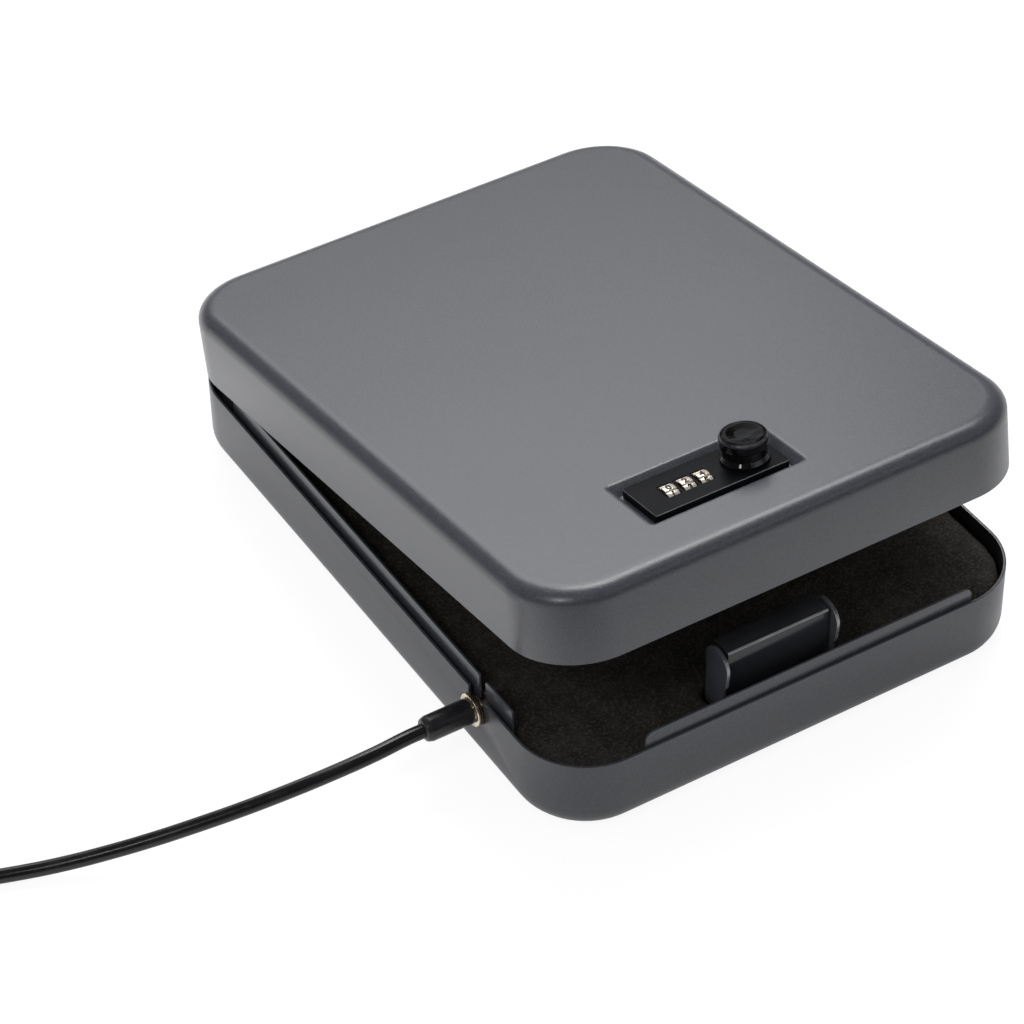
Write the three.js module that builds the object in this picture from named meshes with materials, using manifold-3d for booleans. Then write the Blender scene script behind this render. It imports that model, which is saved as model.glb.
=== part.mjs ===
// A portable car safe: a low sheet-steel box with a hinged lid, a dial lock with a turning knob,
// foam inside and a security cable. Millimetres, +Z up. The origin is the middle of the underside.
// X runs along the hinge, the lock side faces -Y and the hinge is behind the +Y face.
import * as THREE from 'three';
import { mergeVertices } from 'three/addons/utils/BufferGeometryUtils.js';
import Module from 'manifold-3d';

const wasm = await Module();
wasm.setup();

// Box
const BOX_WIDTH = 216;
const BOX_DEPTH = 292.3;
const BOX_HEIGHT = 64;
const BASE_HEIGHT = 33.5;
const PARTING_GAP = 0.3;
const SHEET = 1.2;
const CORNER_RADIUS = 29.4;
const BASE_FILLET = 9.5;
const LID_FILLET = 6;
const LID_OPEN = THREE.MathUtils.degToRad(9.5);
const CLEARANCE = 0.3;
const OVERCUT = 1;

// Hinge
const HINGE_SETBACK = 3.75;
const HINGE_LENGTH = 150;
const HINGE_LEAF = 1;
const HINGE_LEAF_HEIGHT = 15;
const HINGE_KNUCKLES = 5;
const HINGE_KNUCKLE_GAP = 0.4;
const HINGE_PIN_RADIUS = 1.45;
const HINGE_PIN_HEAD = 2.6;
const HINGE_PIN_HEAD_LENGTH = 1.2;
const HINGE_RIVET_END_GAP = 20;
const HINGE_RIVET_DROP = 10.5;

// Rivets and screws
const RIVET_RADIUS = 1.4;
const RIVET_HEAD_RADIUS = 3;
const RIVET_HEAD_HEIGHT = 1;
const RIVET_DOME_SHARE = 0.6;
const SCREW_RADIUS = 1.3;
const SCREW_HEAD_RADIUS = 2.4;
const SCREW_HEAD_HEIGHT = 1.3;

// Lips that stand up inside the rim and guide the lid
const LIP_SHEET = 1;
const LIP_RISE = 6.4;
const LIP_BOTTOM = 11;
const LIP_CORNER = 4;
const FRONT_LIP_INSET = 1.6;
const FRONT_LIP_LEFT_GAP = 38;
const FRONT_LIP_RIGHT_GAP = 30.2;
const SIDE_LIP_INSET = 3;
const SIDE_LIP_BACK_GAP = 38.15;
const LEFT_LIP_FRONT_GAP = 37.95;
const RIGHT_LIP_FRONT_GAP = 58.15;
const SIDE_LIP_BEND_DROP = 9.5;
const LIP_SLOT_WIDTH = 4.1;

// Foam
const FOAM_DROP = 5;
const FOAM_SIDE_GAP = 4.3;
const FOAM_END_GAP = 2.5;
const FOAM_CORNER = 25;
const FOAM_FILLET = 6;
const FOAM_CUT_GAP = 2;
const LID_FOAM = 5.5;
const LID_FOAM_GAP = 5;
const LID_FOAM_LOCK_GAP = 10.5;

// Strike bracket behind the front wall
const STRIKE_SHEET = 1.5;
const STRIKE_WIDTH = 50.8;
const STRIKE_SHIFT = 8;
const STRIKE_RISE = 19.5;
const STRIKE_SETBACK = 9.65;
const STRIKE_DEPTH = 9.5;
const CHEEK_RISE = 0.5;
const CHEEK_TAIL = 0.8;
const CHEEK_NOSE = 4.6;
const CHEEK_NOSE_RADIUS = 7.2;
const CHEEK_CHIN = 3;
const CHEEK_CHIN_DROP = 13.5;
const CHEEK_THROAT = 1.5;
const CHEEK_THROAT_DROP = 17;
const CHEEK_BACK_RADIUS = 6;
const STRIKE_RIVET_SPACING = 22;

// Lock, in the place of the closed lid
const LOCK_X = -14.2;
const LOCK_SETBACK = 39.65;
const RECESS_SINK = 4;
const RECESS_SLOPE = 3.5;
const PLATE_WIDTH = 58.6;
const PLATE_DEPTH = 23.5;
const PLATE_END_GAP = 0.95;
const PLATE_SIDE_GAP = 0.6;
const PLATE_DROP = 0.5;
const PLATE_SKIN = 1.2;
const DIAL_COUNT = 3;
const DIAL_RADIUS = 6.5;
const DIAL_WIDTH = 5;
const DIAL_PITCH = 7.29;
const DIALS_INSET = 20.4;
const DIAL_PROUD = 1.2;
const DIAL_DIGITS = 10;
const DIAL_NOTCH = 0.35;
const DIAL_NOTCH_SHARE = 0.12;
const SLOT_LENGTH = 10.7;
const SLOT_SIDE_GAP = 0.5;
const SHAFT_RADIUS = 1.2;
const BODY_INSET = 1.5;
const BODY_HALF_DEPTH = 11;
const BACKPLATE = 0.8;
const WELL_GAP = 0.7;
const SPRING_ROOM = 1.5;
const SPRING_SHEET = 0.4;
const SPRING_FOOT = 1.5;
const SPRING_BUMP_DROP = 2;
const SPRING_FINGER_SHARE = 0.65;
const SCREW_LEFT_INSET = 4.3;
const SCREW_RIGHT_INSET = 4.7;
const SCREW_RIGHT_SHIFT = 7.6;

// Knob and cam
const KNOB_INSET = 12;
const KNOB_HEIGHT = 11;
const KNOB_CAP_RADIUS = 9.4;
const KNOB_WAIST_RADIUS = 8.2;
const KNOB_SKIRT_RADIUS = 9.55;
const KNOB_SKIRT = 2.6;
const KNOB_WAIST = 3.4;
const KNOB_CHAMFER = 0.8;
const KNOB_TOP_RADIUS = 7;
const KNOB_DISH = 0.3;
const SPINDLE_RADIUS = 4;
const TANG = 5;
const CAM_SHEET = 1.6;
const CAM_HALF_WIDTH = 4.5;
const CAM_HUB_RADIUS = 6;
const CAM_TIP_GAP = 0.5;
const WASHER_RADIUS = 5;
const WASHER_SHEET = 0.8;
const CAM_SCREW_HEAD_RADIUS = 3.4;
const CAM_SCREW_HEAD_HEIGHT = 1.6;
const CAM_SCREW_LENGTH = 7;

// Cable and its fitting in the left wall
const CABLE_RADIUS = 2.9;
const CABLE_SETBACK = 58.95;
const CABLE_DROP = 7.2;
const NOTCH_HALF_WIDTH = 5.2;
const NECK_RADIUS = 1.75;
const COLLAR_RADIUS = 4.6;
const FLANGE_RADIUS = 6.7;
const FLANGE = 1.3;
const WASHER_RING = 0.9;
const FITTING_HEAD_RADIUS = 5;
const FITTING_HEAD = 2.5;
const BARREL_RADIUS = 4;
const BARREL = 15;
const SLEEVE_RADIUS = 5.1;
const SLEEVE = 20;
const SLEEVE_TIP_RADIUS = 3.5;
const SLEEVE_TIP_EDGE = 1;
const COIL_RADIUS = 40.5;
const COIL_PITCH = 6.6;
const COIL_LAYER_TURNS = 2;
const COIL_STEPS = 24;
const COIL_SIDES = 6;
const TAIL_LEVEL = 26;
const TAIL_DROP = 30;
const EYE_LENGTH = 42;
const EYE_HALF_WIDTH = 13;
const FERRULE_HALF_HEIGHT = 4;
const FERRULE_HALF_WIDTH = 7.4;
const FERRULE_LENGTH = 18;
const EYE_WIDEST_SHARE = 0.55;
const EYE_BEND_WIDTH_SHARE = 0.62;
const EYE_BEND_LENGTH_SHARE = 0.88;

// Smoothness
const CORNER_STEPS = 12;
const FILLET_STEPS = 5;
const ROUND_STEPS = 32;
const SMALL_STEPS = 16;
const ARC_STEPS = 6;
const FITTING_STEPS = 24;
const RUN_STEPS = 24;
const TAIL_STEPS = 8;
const EYE_STEPS = 28;
const CABLE_SIDES = 8;

const HINGE_Y = BOX_DEPTH / 2 + HINGE_SETBACK;
const HINGE_Z = BASE_HEIGHT + PARTING_GAP / 2;
const LID_BOTTOM = BASE_HEIGHT + PARTING_GAP;
const WALL_X = BOX_WIDTH / 2;
const WALL_Y = BOX_DEPTH / 2;
const INNER_X = WALL_X - SHEET;
const INNER_Y = WALL_Y - SHEET;
const LIP_TOP = BASE_HEIGHT + LIP_RISE;
const SIDE_LIP_BEND = BASE_HEIGHT - SIDE_LIP_BEND_DROP;
const FOAM_TOP = BASE_HEIGHT - FOAM_DROP;
const LOCK_Y = -WALL_Y + LOCK_SETBACK;
const PLATE_LEFT = LOCK_X - PLATE_WIDTH / 2;
const PLATE_RIGHT = LOCK_X + PLATE_WIDTH / 2;
const DIAL_MIDDLE = PLATE_LEFT + DIALS_INSET;
const KNOB_X = PLATE_RIGHT - KNOB_INSET;
const STRIKE_LEFT = LOCK_X + STRIKE_SHIFT - STRIKE_WIDTH / 2;
const STRIKE_RIGHT = STRIKE_LEFT + STRIKE_WIDTH;
const STRIKE_TOP = BASE_HEIGHT + STRIKE_RISE;
const STRIKE_FRONT = -WALL_Y + STRIKE_SETBACK;
const STRIKE_BACK = STRIKE_FRONT + STRIKE_DEPTH;
const CHEEK_BACK = STRIKE_BACK + CHEEK_TAIL;
const CABLE_Y = -WALL_Y + CABLE_SETBACK;
const CABLE_Z = BASE_HEIGHT - CABLE_DROP;

const paint = { color: 0x5f6063, roughness: 0.55, metalness: 0.1 };
const material = {
  shell: () => new THREE.MeshStandardMaterial(paint),
  foam: () => new THREE.MeshStandardMaterial({ color: 0x17161a, roughness: 1, metalness: 0 }),
  blackSteel: () => new THREE.MeshStandardMaterial({ color: 0x222429, roughness: 0.45, metalness: 0.3 }),
  zinc: () => new THREE.MeshStandardMaterial({ color: 0x8f9194, roughness: 0.4, metalness: 0.9 }),
  plate: () => new THREE.MeshStandardMaterial({ color: 0x1b1d21, roughness: 0.35, metalness: 0.2 }),
  knob: () => new THREE.MeshStandardMaterial({ color: 0x0c0c0d, roughness: 0.2, metalness: 0 }),
  dial: () => new THREE.MeshStandardMaterial({ color: 0xd8cfc4, roughness: 0.4, metalness: 0.4 }),
  brass: () => new THREE.MeshStandardMaterial({ color: 0xc9a878, roughness: 0.25, metalness: 1 }),
  vinyl: () => new THREE.MeshStandardMaterial({ color: 0x0e0e10, roughness: 0.3, metalness: 0 }),
};

// Geometry helpers

// Merges a geometry's corners, drops its flat triangles and turns its faces outwards.
function weld(geometry) {
  const bare = new THREE.BufferGeometry();
  bare.setAttribute('position', geometry.attributes.position.clone());
  bare.setIndex(geometry.index ? geometry.index.clone() : null);
  const merged = mergeVertices(bare, 1e-4);
  const triangles = [];
  const corners = [new THREE.Vector3(), new THREE.Vector3(), new THREE.Vector3()];
  let volume = 0;
  for (let i = 0; i < merged.index.count; i += 3) {
    const triangle = [0, 1, 2].map((k) => merged.index.getX(i + k));
    if (new Set(triangle).size < 3) continue;
    triangle.forEach((index, k) => corners[k].fromBufferAttribute(merged.attributes.position, index));
    volume += corners[0].dot(corners[1].clone().cross(corners[2]));
    triangles.push(triangle);
  }
  merged.setIndex(triangles.flatMap((triangle) => (volume < 0 ? triangle.reverse() : triangle)));
  return merged;
}

function solid(geometry) {
  const welded = weld(geometry);
  return new wasm.Manifold(
    new wasm.Mesh({
      numProp: 3,
      vertProperties: new Float32Array(welded.attributes.position.array),
      triVerts: new Uint32Array(welded.index.array),
    }),
  );
}

function geometryOf(manifold) {
  const mesh = manifold.getMesh();
  const geometry = new THREE.BufferGeometry();
  geometry.setAttribute('position', new THREE.Float32BufferAttribute(mesh.vertProperties, 3));
  geometry.setIndex(Array.from(mesh.triVerts));
  return geometry;
}

function joined(...geometries) {
  return geometryOf(geometries.map(solid).reduce((whole, part) => whole.add(part)));
}

function cut(geometry, ...cutters) {
  return geometryOf(cutters.map(solid).reduce((whole, part) => whole.subtract(part), solid(geometry)));
}

function common(first, second) {
  return geometryOf(solid(first).intersect(solid(second)));
}

function block(x0, x1, y0, y1, z0, z1) {
  const box = new THREE.BoxGeometry(x1 - x0, y1 - y0, z1 - z0);
  return box.translate((x0 + x1) / 2, (y0 + y1) / 2, (z0 + z1) / 2);
}

// A round bar along an axis that starts at the given point.
function bar(axis, radius, length, start, steps = SMALL_STEPS) {
  const cylinder = new THREE.CylinderGeometry(radius, radius, length, steps);
  cylinder.translate(0, length / 2, 0);
  return alongAxis(cylinder, axis).translate(...start);
}

// Turns a shape made along Y to lie along the named axis.
function alongAxis(geometry, axis) {
  if (axis === 'x') geometry.rotateZ(-Math.PI / 2);
  if (axis === 'z') geometry.rotateX(Math.PI / 2);
  return geometry;
}

// A turned piece from [radius, distance along the axis] pairs.
function turned(axis, profile, start, steps = SMALL_STEPS) {
  const points = profile.map(([radius, along]) => new THREE.Vector2(radius, along));
  return alongAxis(new THREE.LatheGeometry(points, steps), axis).translate(...start);
}

function plate(shape, z0, z1) {
  const options = { depth: z1 - z0, bevelEnabled: false, curveSegments: ARC_STEPS };
  return new THREE.ExtrudeGeometry(shape, options).translate(0, 0, z0);
}

// A shape drawn in (y, z), pushed along X.
function plateAcrossX(shape, x0, x1) {
  const turn = new THREE.Matrix4().makeBasis(
    new THREE.Vector3(0, 1, 0),
    new THREE.Vector3(0, 0, 1),
    new THREE.Vector3(1, 0, 0),
  );
  return plate(shape, x0, x1).applyMatrix4(turn);
}

// A shape drawn in (x, z), pushed along Y.
function plateAcrossY(shape, y0, y1) {
  return plate(shape, -y1, -y0).rotateX(Math.PI / 2);
}

function polygon(points) {
  return new THREE.Shape(points.map(([x, y]) => new THREE.Vector2(x, y)));
}

function rectangle(x0, x1, y0, y1) {
  return polygon([[x0, y0], [x1, y0], [x1, y1], [x0, y1]]);
}

// A rectangle whose two upper corners are round.
function roundShoulders(x0, x1, y0, y1, radius) {
  const shape = new THREE.Shape();
  shape.moveTo(x0, y0);
  shape.lineTo(x1, y0);
  shape.lineTo(x1, y1 - radius);
  shape.absarc(x1 - radius, y1 - radius, radius, 0, Math.PI / 2);
  shape.lineTo(x0 + radius, y1);
  shape.absarc(x0 + radius, y1 - radius, radius, Math.PI / 2, Math.PI);
  return shape;
}

// The corners of a rounded rectangle about the origin, at height z, counterclockwise.
function ring(width, depth, radius, z) {
  const points = [];
  for (let corner = 0; corner < 4; corner += 1) {
    const signX = corner === 0 || corner === 3 ? 1 : -1;
    const signY = corner < 2 ? 1 : -1;
    for (let step = 0; step <= CORNER_STEPS; step += 1) {
      const angle = ((corner + step / CORNER_STEPS) * Math.PI) / 2;
      const x = signX * (width / 2 - radius) + radius * Math.cos(angle);
      const y = signY * (depth / 2 - radius) + radius * Math.sin(angle);
      points.push(new THREE.Vector3(x, y, z));
    }
  }
  return points;
}

// The rings of a dish's outside, from its flat bottom at z up round a fillet to its rim.
function dishRings(width, depth, corner, fillet, z, rim) {
  const rings = [];
  for (let step = 0; step <= FILLET_STEPS; step += 1) {
    const angle = ((step / FILLET_STEPS) * Math.PI) / 2;
    const inset = fillet * (1 - Math.sin(angle));
    const rise = fillet * (1 - Math.cos(angle));
    rings.push(ring(width - 2 * inset, depth - 2 * inset, corner - inset, z + rise));
  }
  rings.push(ring(width, depth, corner, rim));
  return rings;
}

// Skins a row of rings with equal counts and closes both ends with a fan.
function loft(rings) {
  const count = rings[0].length;
  const positions = rings.flat().flatMap((point) => point.toArray());
  const indices = [];
  for (let level = 0; level + 1 < rings.length; level += 1) {
    for (let i = 0; i < count; i += 1) {
      const a = level * count + i;
      const b = level * count + ((i + 1) % count);
      indices.push(a, b, b + count, a, b + count, a + count);
    }
  }
  const last = (rings.length - 1) * count;
  for (let i = 1; i + 1 < count; i += 1) {
    indices.push(0, i + 1, i);
    indices.push(last, last + i, last + i + 1);
  }
  const geometry = new THREE.BufferGeometry();
  geometry.setAttribute('position', new THREE.Float32BufferAttribute(positions, 3));
  geometry.setIndex(indices);
  return geometry;
}

// A deep-drawn sheet dish with its floor at z = 0 and its rim at the given height.
function sheetDish(height, fillet) {
  const outside = dishRings(BOX_WIDTH, BOX_DEPTH, CORNER_RADIUS, fillet, 0, height);
  const inside = dishRings(
    2 * INNER_X,
    2 * INNER_Y,
    CORNER_RADIUS - SHEET,
    fillet - SHEET,
    SHEET,
    height,
  );
  return loft([...outside, ...inside.reverse()]);
}

// A tube of the given radius along a curve.
function tube(curve, radius, steps, sides) {
  const section = new THREE.Shape();
  section.absarc(0, 0, radius, 0, 2 * Math.PI);
  const options = { steps, bevelEnabled: false, curveSegments: sides / 2, extrudePath: curve };
  return new THREE.ExtrudeGeometry(section, options);
}

const group = new THREE.Group();

// The lid's pieces are placed as if the lid were closed, and this turns them about the hinge.
const lidSwing = new THREE.Group();
lidSwing.position.set(0, HINGE_Y, HINGE_Z);
lidSwing.rotation.x = -LID_OPEN;
group.add(lidSwing);
const lid = new THREE.Group();
lid.position.set(0, -HINGE_Y, -HINGE_Z);
lidSwing.add(lid);

function add(parent, name, geometry, look, position = [0, 0, 0]) {
  const mesh = new THREE.Mesh(weld(geometry), look());
  mesh.geometry.computeVertexNormals();
  mesh.name = name;
  mesh.position.set(...position);
  parent.add(mesh);
}

// Hinge

const HINGE_RIVET_PITCH = HINGE_LENGTH / 2 - HINGE_RIVET_END_GAP;
const HINGE_RIVET_XS = [-HINGE_RIVET_PITCH, 0, HINGE_RIVET_PITCH];
const KNUCKLE_LENGTH = (HINGE_LENGTH - (HINGE_KNUCKLES - 1) * HINGE_KNUCKLE_GAP) / HINGE_KNUCKLES;
const KNUCKLE_RADIUS = HINGE_SETBACK - CLEARANCE;
const LEAF_Y = WALL_Y + CLEARANCE;
const PIN_BORE = HINGE_PIN_RADIUS + CLEARANCE;
const RIVET_HOLE = RIVET_RADIUS + CLEARANCE;

// One leaf of the hinge. Side -1 hangs down from the axis and side +1 stands up from it.
function hingeLeaf(side, isOwn) {
  const span = (near, far) => [HINGE_Z + side * near, HINGE_Z + side * far].sort((a, b) => a - b);
  const clear = KNUCKLE_RADIUS + HINGE_KNUCKLE_GAP;
  const [z0, z1] = span(clear, HINGE_LEAF_HEIGHT);
  const parts = [block(-HINGE_LENGTH / 2, HINGE_LENGTH / 2, LEAF_Y, LEAF_Y + HINGE_LEAF, z0, z1)];
  for (let k = 0; k < HINGE_KNUCKLES; k += 1) {
    if (!isOwn(k)) continue;
    const x = -HINGE_LENGTH / 2 + k * (KNUCKLE_LENGTH + HINGE_KNUCKLE_GAP);
    const [root0, root1] = span(0, clear + OVERCUT);
    parts.push(block(x, x + KNUCKLE_LENGTH, LEAF_Y, LEAF_Y + HINGE_LEAF, root0, root1));
    parts.push(bar('x', KNUCKLE_RADIUS, KNUCKLE_LENGTH, [x, HINGE_Y, HINGE_Z], ROUND_STEPS));
  }
  const boreStart = -HINGE_LENGTH / 2 - OVERCUT;
  const bore = bar('x', PIN_BORE, HINGE_LENGTH + 2 * OVERCUT, [boreStart, HINGE_Y, HINGE_Z]);
  const holes = HINGE_RIVET_XS.map((x) => rivetHole(x, side));
  return cut(joined(...parts), bore, ...holes);
}

// The way for a hinge rivet through the rear wall and a leaf.
function rivetHole(x, side) {
  const start = INNER_Y - OVERCUT;
  const end = LEAF_Y + HINGE_LEAF + OVERCUT;
  return bar('y', RIVET_HOLE, end - start, [x, start, HINGE_Z + side * HINGE_RIVET_DROP]);
}

function hingePin() {
  const half = HINGE_LENGTH / 2 + CLEARANCE;
  const end = half + HINGE_PIN_HEAD_LENGTH;
  const profile = [
    [0, -end],
    [HINGE_PIN_HEAD, -end],
    [HINGE_PIN_HEAD, -half],
    [HINGE_PIN_RADIUS, -half],
    [HINGE_PIN_RADIUS, half],
    [HINGE_PIN_HEAD, half],
    [HINGE_PIN_HEAD, end],
    [0, end],
  ];
  return turned('x', profile, [0, HINGE_Y, HINGE_Z]);
}

// A rivet through the rear wall and a hinge leaf, with a head on both sides.
function hingeRivet() {
  const inside = INNER_Y - CLEARANCE;
  const outside = LEAF_Y + HINGE_LEAF + CLEARANCE;
  return [
    [0, inside - RIVET_HEAD_HEIGHT],
    [RIVET_HEAD_RADIUS, inside - RIVET_HEAD_HEIGHT],
    [RIVET_HEAD_RADIUS, inside],
    [RIVET_RADIUS, inside],
    [RIVET_RADIUS, outside],
    [RIVET_HEAD_RADIUS, outside],
    [RIVET_HEAD_RADIUS * RIVET_DOME_SHARE, outside + RIVET_HEAD_HEIGHT],
    [0, outside + RIVET_HEAD_HEIGHT],
  ];
}

add(group, 'hinge_leaf_base', hingeLeaf(-1, (k) => k % 2 === 0), material.blackSteel);
add(lid, 'hinge_leaf_lid', hingeLeaf(1, (k) => k % 2 === 1), material.blackSteel);
add(group, 'hinge_pin', hingePin(), material.zinc);
HINGE_RIVET_XS.forEach((x, i) => {
  const low = turned('y', hingeRivet(), [x, 0, HINGE_Z - HINGE_RIVET_DROP]);
  const high = turned('y', hingeRivet(), [x, 0, HINGE_Z + HINGE_RIVET_DROP]);
  add(group, `hinge_rivet_base_${i + 1}`, low, material.zinc);
  add(lid, `hinge_rivet_lid_${i + 1}`, high, material.zinc);
});

// Base

const STRIKE_MIDDLE = (STRIKE_LEFT + STRIKE_RIGHT) / 2;
const STRIKE_RIVET_XS = [-STRIKE_RIVET_SPACING / 2, STRIKE_RIVET_SPACING / 2].map((x) => x + STRIKE_MIDDLE);
const STRIKE_RIVET_Y = (STRIKE_FRONT + STRIKE_SHEET + CHEEK_BACK) / 2;
const FOOT_BOTTOM = SHEET + CLEARANCE;
const FOOT_TOP = FOOT_BOTTOM + STRIKE_SHEET;
const COUNTERSINK = RIVET_RADIUS + SHEET;

// The notch in the left wall's rim that the cable fitting drops into.
function cableNotch() {
  const shape = new THREE.Shape();
  shape.moveTo(CABLE_Y - NOTCH_HALF_WIDTH, BASE_HEIGHT + OVERCUT);
  shape.lineTo(CABLE_Y - NOTCH_HALF_WIDTH, CABLE_Z);
  shape.absarc(CABLE_Y, CABLE_Z, NOTCH_HALF_WIDTH, Math.PI, 2 * Math.PI);
  shape.lineTo(CABLE_Y + NOTCH_HALF_WIDTH, BASE_HEIGHT + OVERCUT);
  return plateAcrossX(shape, -WALL_X - OVERCUT, -INNER_X + OVERCUT);
}

// The countersunk hole in the floor under a strike rivet.
function strikeRivetHole(x) {
  const profile = [
    [0, -OVERCUT],
    [COUNTERSINK + CLEARANCE + OVERCUT, -OVERCUT],
    [COUNTERSINK + CLEARANCE, 0],
    [RIVET_HOLE, SHEET],
    [RIVET_HOLE, FOOT_TOP + OVERCUT],
    [0, FOOT_TOP + OVERCUT],
  ];
  return turned('z', profile, [x, STRIKE_RIVET_Y, 0]);
}

function baseShell() {
  return cut(
    sheetDish(BASE_HEIGHT, BASE_FILLET),
    cableNotch(),
    ...HINGE_RIVET_XS.map((x) => rivetHole(x, -1)),
    ...STRIKE_RIVET_XS.map(strikeRivetHole),
  );
}

function strikeRivet() {
  const seat = FOOT_TOP + CLEARANCE;
  return [
    [0, CLEARANCE],
    [COUNTERSINK - CLEARANCE, CLEARANCE],
    [RIVET_RADIUS, SHEET],
    [RIVET_RADIUS, seat],
    [RIVET_HEAD_RADIUS, seat],
    [RIVET_HEAD_RADIUS * RIVET_DOME_SHARE, seat + RIVET_HEAD_HEIGHT],
    [0, seat + RIVET_HEAD_HEIGHT],
  ];
}

// One side of the strike: it stands on the floor and its nose leans towards the front lip.
function cheekShape() {
  const top = STRIKE_TOP + CHEEK_RISE;
  const back = [CHEEK_BACK - CHEEK_BACK_RADIUS, top - CHEEK_BACK_RADIUS];
  const nose = [STRIKE_FRONT - CHEEK_NOSE + CHEEK_NOSE_RADIUS, top - CHEEK_NOSE_RADIUS];
  const throat = STRIKE_FRONT - CHEEK_THROAT;
  const shape = new THREE.Shape();
  shape.moveTo(throat, FOOT_BOTTOM + CLEARANCE);
  shape.lineTo(CHEEK_BACK, FOOT_BOTTOM + CLEARANCE);
  shape.absarc(...back, CHEEK_BACK_RADIUS, 0, Math.PI / 2);
  shape.absarc(...nose, CHEEK_NOSE_RADIUS, Math.PI / 2, Math.PI);
  shape.lineTo(STRIKE_FRONT - CHEEK_CHIN, STRIKE_TOP - CHEEK_CHIN_DROP);
  shape.lineTo(throat, STRIKE_TOP - CHEEK_THROAT_DROP);
  return shape;
}

function strikeBracket() {
  const left = STRIKE_LEFT + STRIKE_SHEET / 2;
  const right = STRIKE_RIGHT - STRIKE_SHEET / 2;
  const inner = STRIKE_FRONT + STRIKE_SHEET;
  const folded = joined(
    plateAcrossX(cheekShape(), STRIKE_LEFT, STRIKE_LEFT + STRIKE_SHEET),
    plateAcrossX(cheekShape(), STRIKE_RIGHT - STRIKE_SHEET, STRIKE_RIGHT),
    block(left, right, STRIKE_FRONT, STRIKE_BACK, STRIKE_TOP - STRIKE_SHEET, STRIKE_TOP),
    block(left, right, STRIKE_FRONT, inner, FOOT_TOP - STRIKE_SHEET / 2, STRIKE_TOP - STRIKE_SHEET / 2),
    block(left, right, STRIKE_FRONT, CHEEK_BACK - CLEARANCE, FOOT_BOTTOM, FOOT_TOP),
  );
  return cut(folded, ...STRIKE_RIVET_XS.map(strikeRivetHole));
}

// The side lip is spot-welded low on the wall and steps in above the bend.
function sideLipProfile(side) {
  const low = INNER_X - CLEARANCE;
  const high = WALL_X - SIDE_LIP_INSET;
  const stepped = SIDE_LIP_BEND + LIP_SHEET + (low - high);
  return polygon(
    [
      [low, LIP_BOTTOM],
      [low, SIDE_LIP_BEND],
      [high, stepped],
      [high, LIP_TOP],
      [high - LIP_SHEET, LIP_TOP],
      [high - LIP_SHEET, stepped - LIP_SHEET / 2],
      [low - LIP_SHEET, SIDE_LIP_BEND - LIP_SHEET / 2],
      [low - LIP_SHEET, LIP_BOTTOM],
    ].map(([x, z]) => [side * x, z]),
  );
}

function sideLip(side, front, back) {
  const outline = roundShoulders(front, back, LIP_BOTTOM - OVERCUT, LIP_TOP, LIP_SHEET);
  const reach = 2 * SIDE_LIP_INSET;
  const slab = plateAcrossX(outline, side * WALL_X - reach, side * WALL_X + reach);
  return common(plateAcrossY(sideLipProfile(side), front, back), slab);
}

function frontLip() {
  const left = -WALL_X + FRONT_LIP_LEFT_GAP;
  const right = WALL_X - FRONT_LIP_RIGHT_GAP;
  const outline = roundShoulders(left, right, LIP_BOTTOM, LIP_TOP, LIP_CORNER);
  const face = -WALL_Y + FRONT_LIP_INSET;
  return plateAcrossY(outline, face, face + LIP_SHEET);
}

function baseFoam() {
  const width = 2 * (INNER_X - FOAM_SIDE_GAP);
  const depth = 2 * (INNER_Y - FOAM_END_GAP);
  const foam = loft(dishRings(width, depth, FOAM_CORNER, FOAM_FILLET, SHEET + CLEARANCE, FOAM_TOP));
  const strikeRoom = block(
    STRIKE_LEFT - FOAM_CUT_GAP,
    STRIKE_RIGHT + FOAM_CUT_GAP,
    -WALL_Y,
    CHEEK_BACK + FOAM_CUT_GAP,
    -OVERCUT,
    FOAM_TOP + OVERCUT,
  );
  const headReach = FITTING_HEAD_RADIUS + FOAM_CUT_GAP;
  const headRoom = block(
    -WALL_X,
    -WALL_X + SIDE_LIP_INSET + LIP_SHEET + CLEARANCE + FITTING_HEAD + FOAM_CUT_GAP,
    CABLE_Y - headReach,
    CABLE_Y + headReach,
    CABLE_Z - headReach,
    FOAM_TOP + OVERCUT,
  );
  return cut(foam, strikeRoom, headRoom);
}

add(group, 'base_shell', baseShell(), material.shell);
add(group, 'front_lip', frontLip(), material.shell);
const slotBack = CABLE_Y + LIP_SLOT_WIDTH / 2;
const slotFront = CABLE_Y - LIP_SLOT_WIDTH / 2;
const lipsBack = WALL_Y - SIDE_LIP_BACK_GAP;
const leftLipFront = -WALL_Y + LEFT_LIP_FRONT_GAP;
const rightLipFront = -WALL_Y + RIGHT_LIP_FRONT_GAP;
add(group, 'left_lip_long', sideLip(-1, slotBack, lipsBack), material.shell);
add(group, 'left_lip_short', sideLip(-1, leftLipFront, slotFront), material.shell);
add(group, 'right_lip', sideLip(1, rightLipFront, lipsBack), material.shell);
add(group, 'base_foam', baseFoam(), material.foam);
add(group, 'strike_bracket', strikeBracket(), material.blackSteel);
STRIKE_RIVET_XS.forEach((x, i) => {
  add(group, `strike_rivet_${i + 1}`, turned('z', strikeRivet(), [x, STRIKE_RIVET_Y, 0]), material.zinc);
});

// Lid

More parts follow.
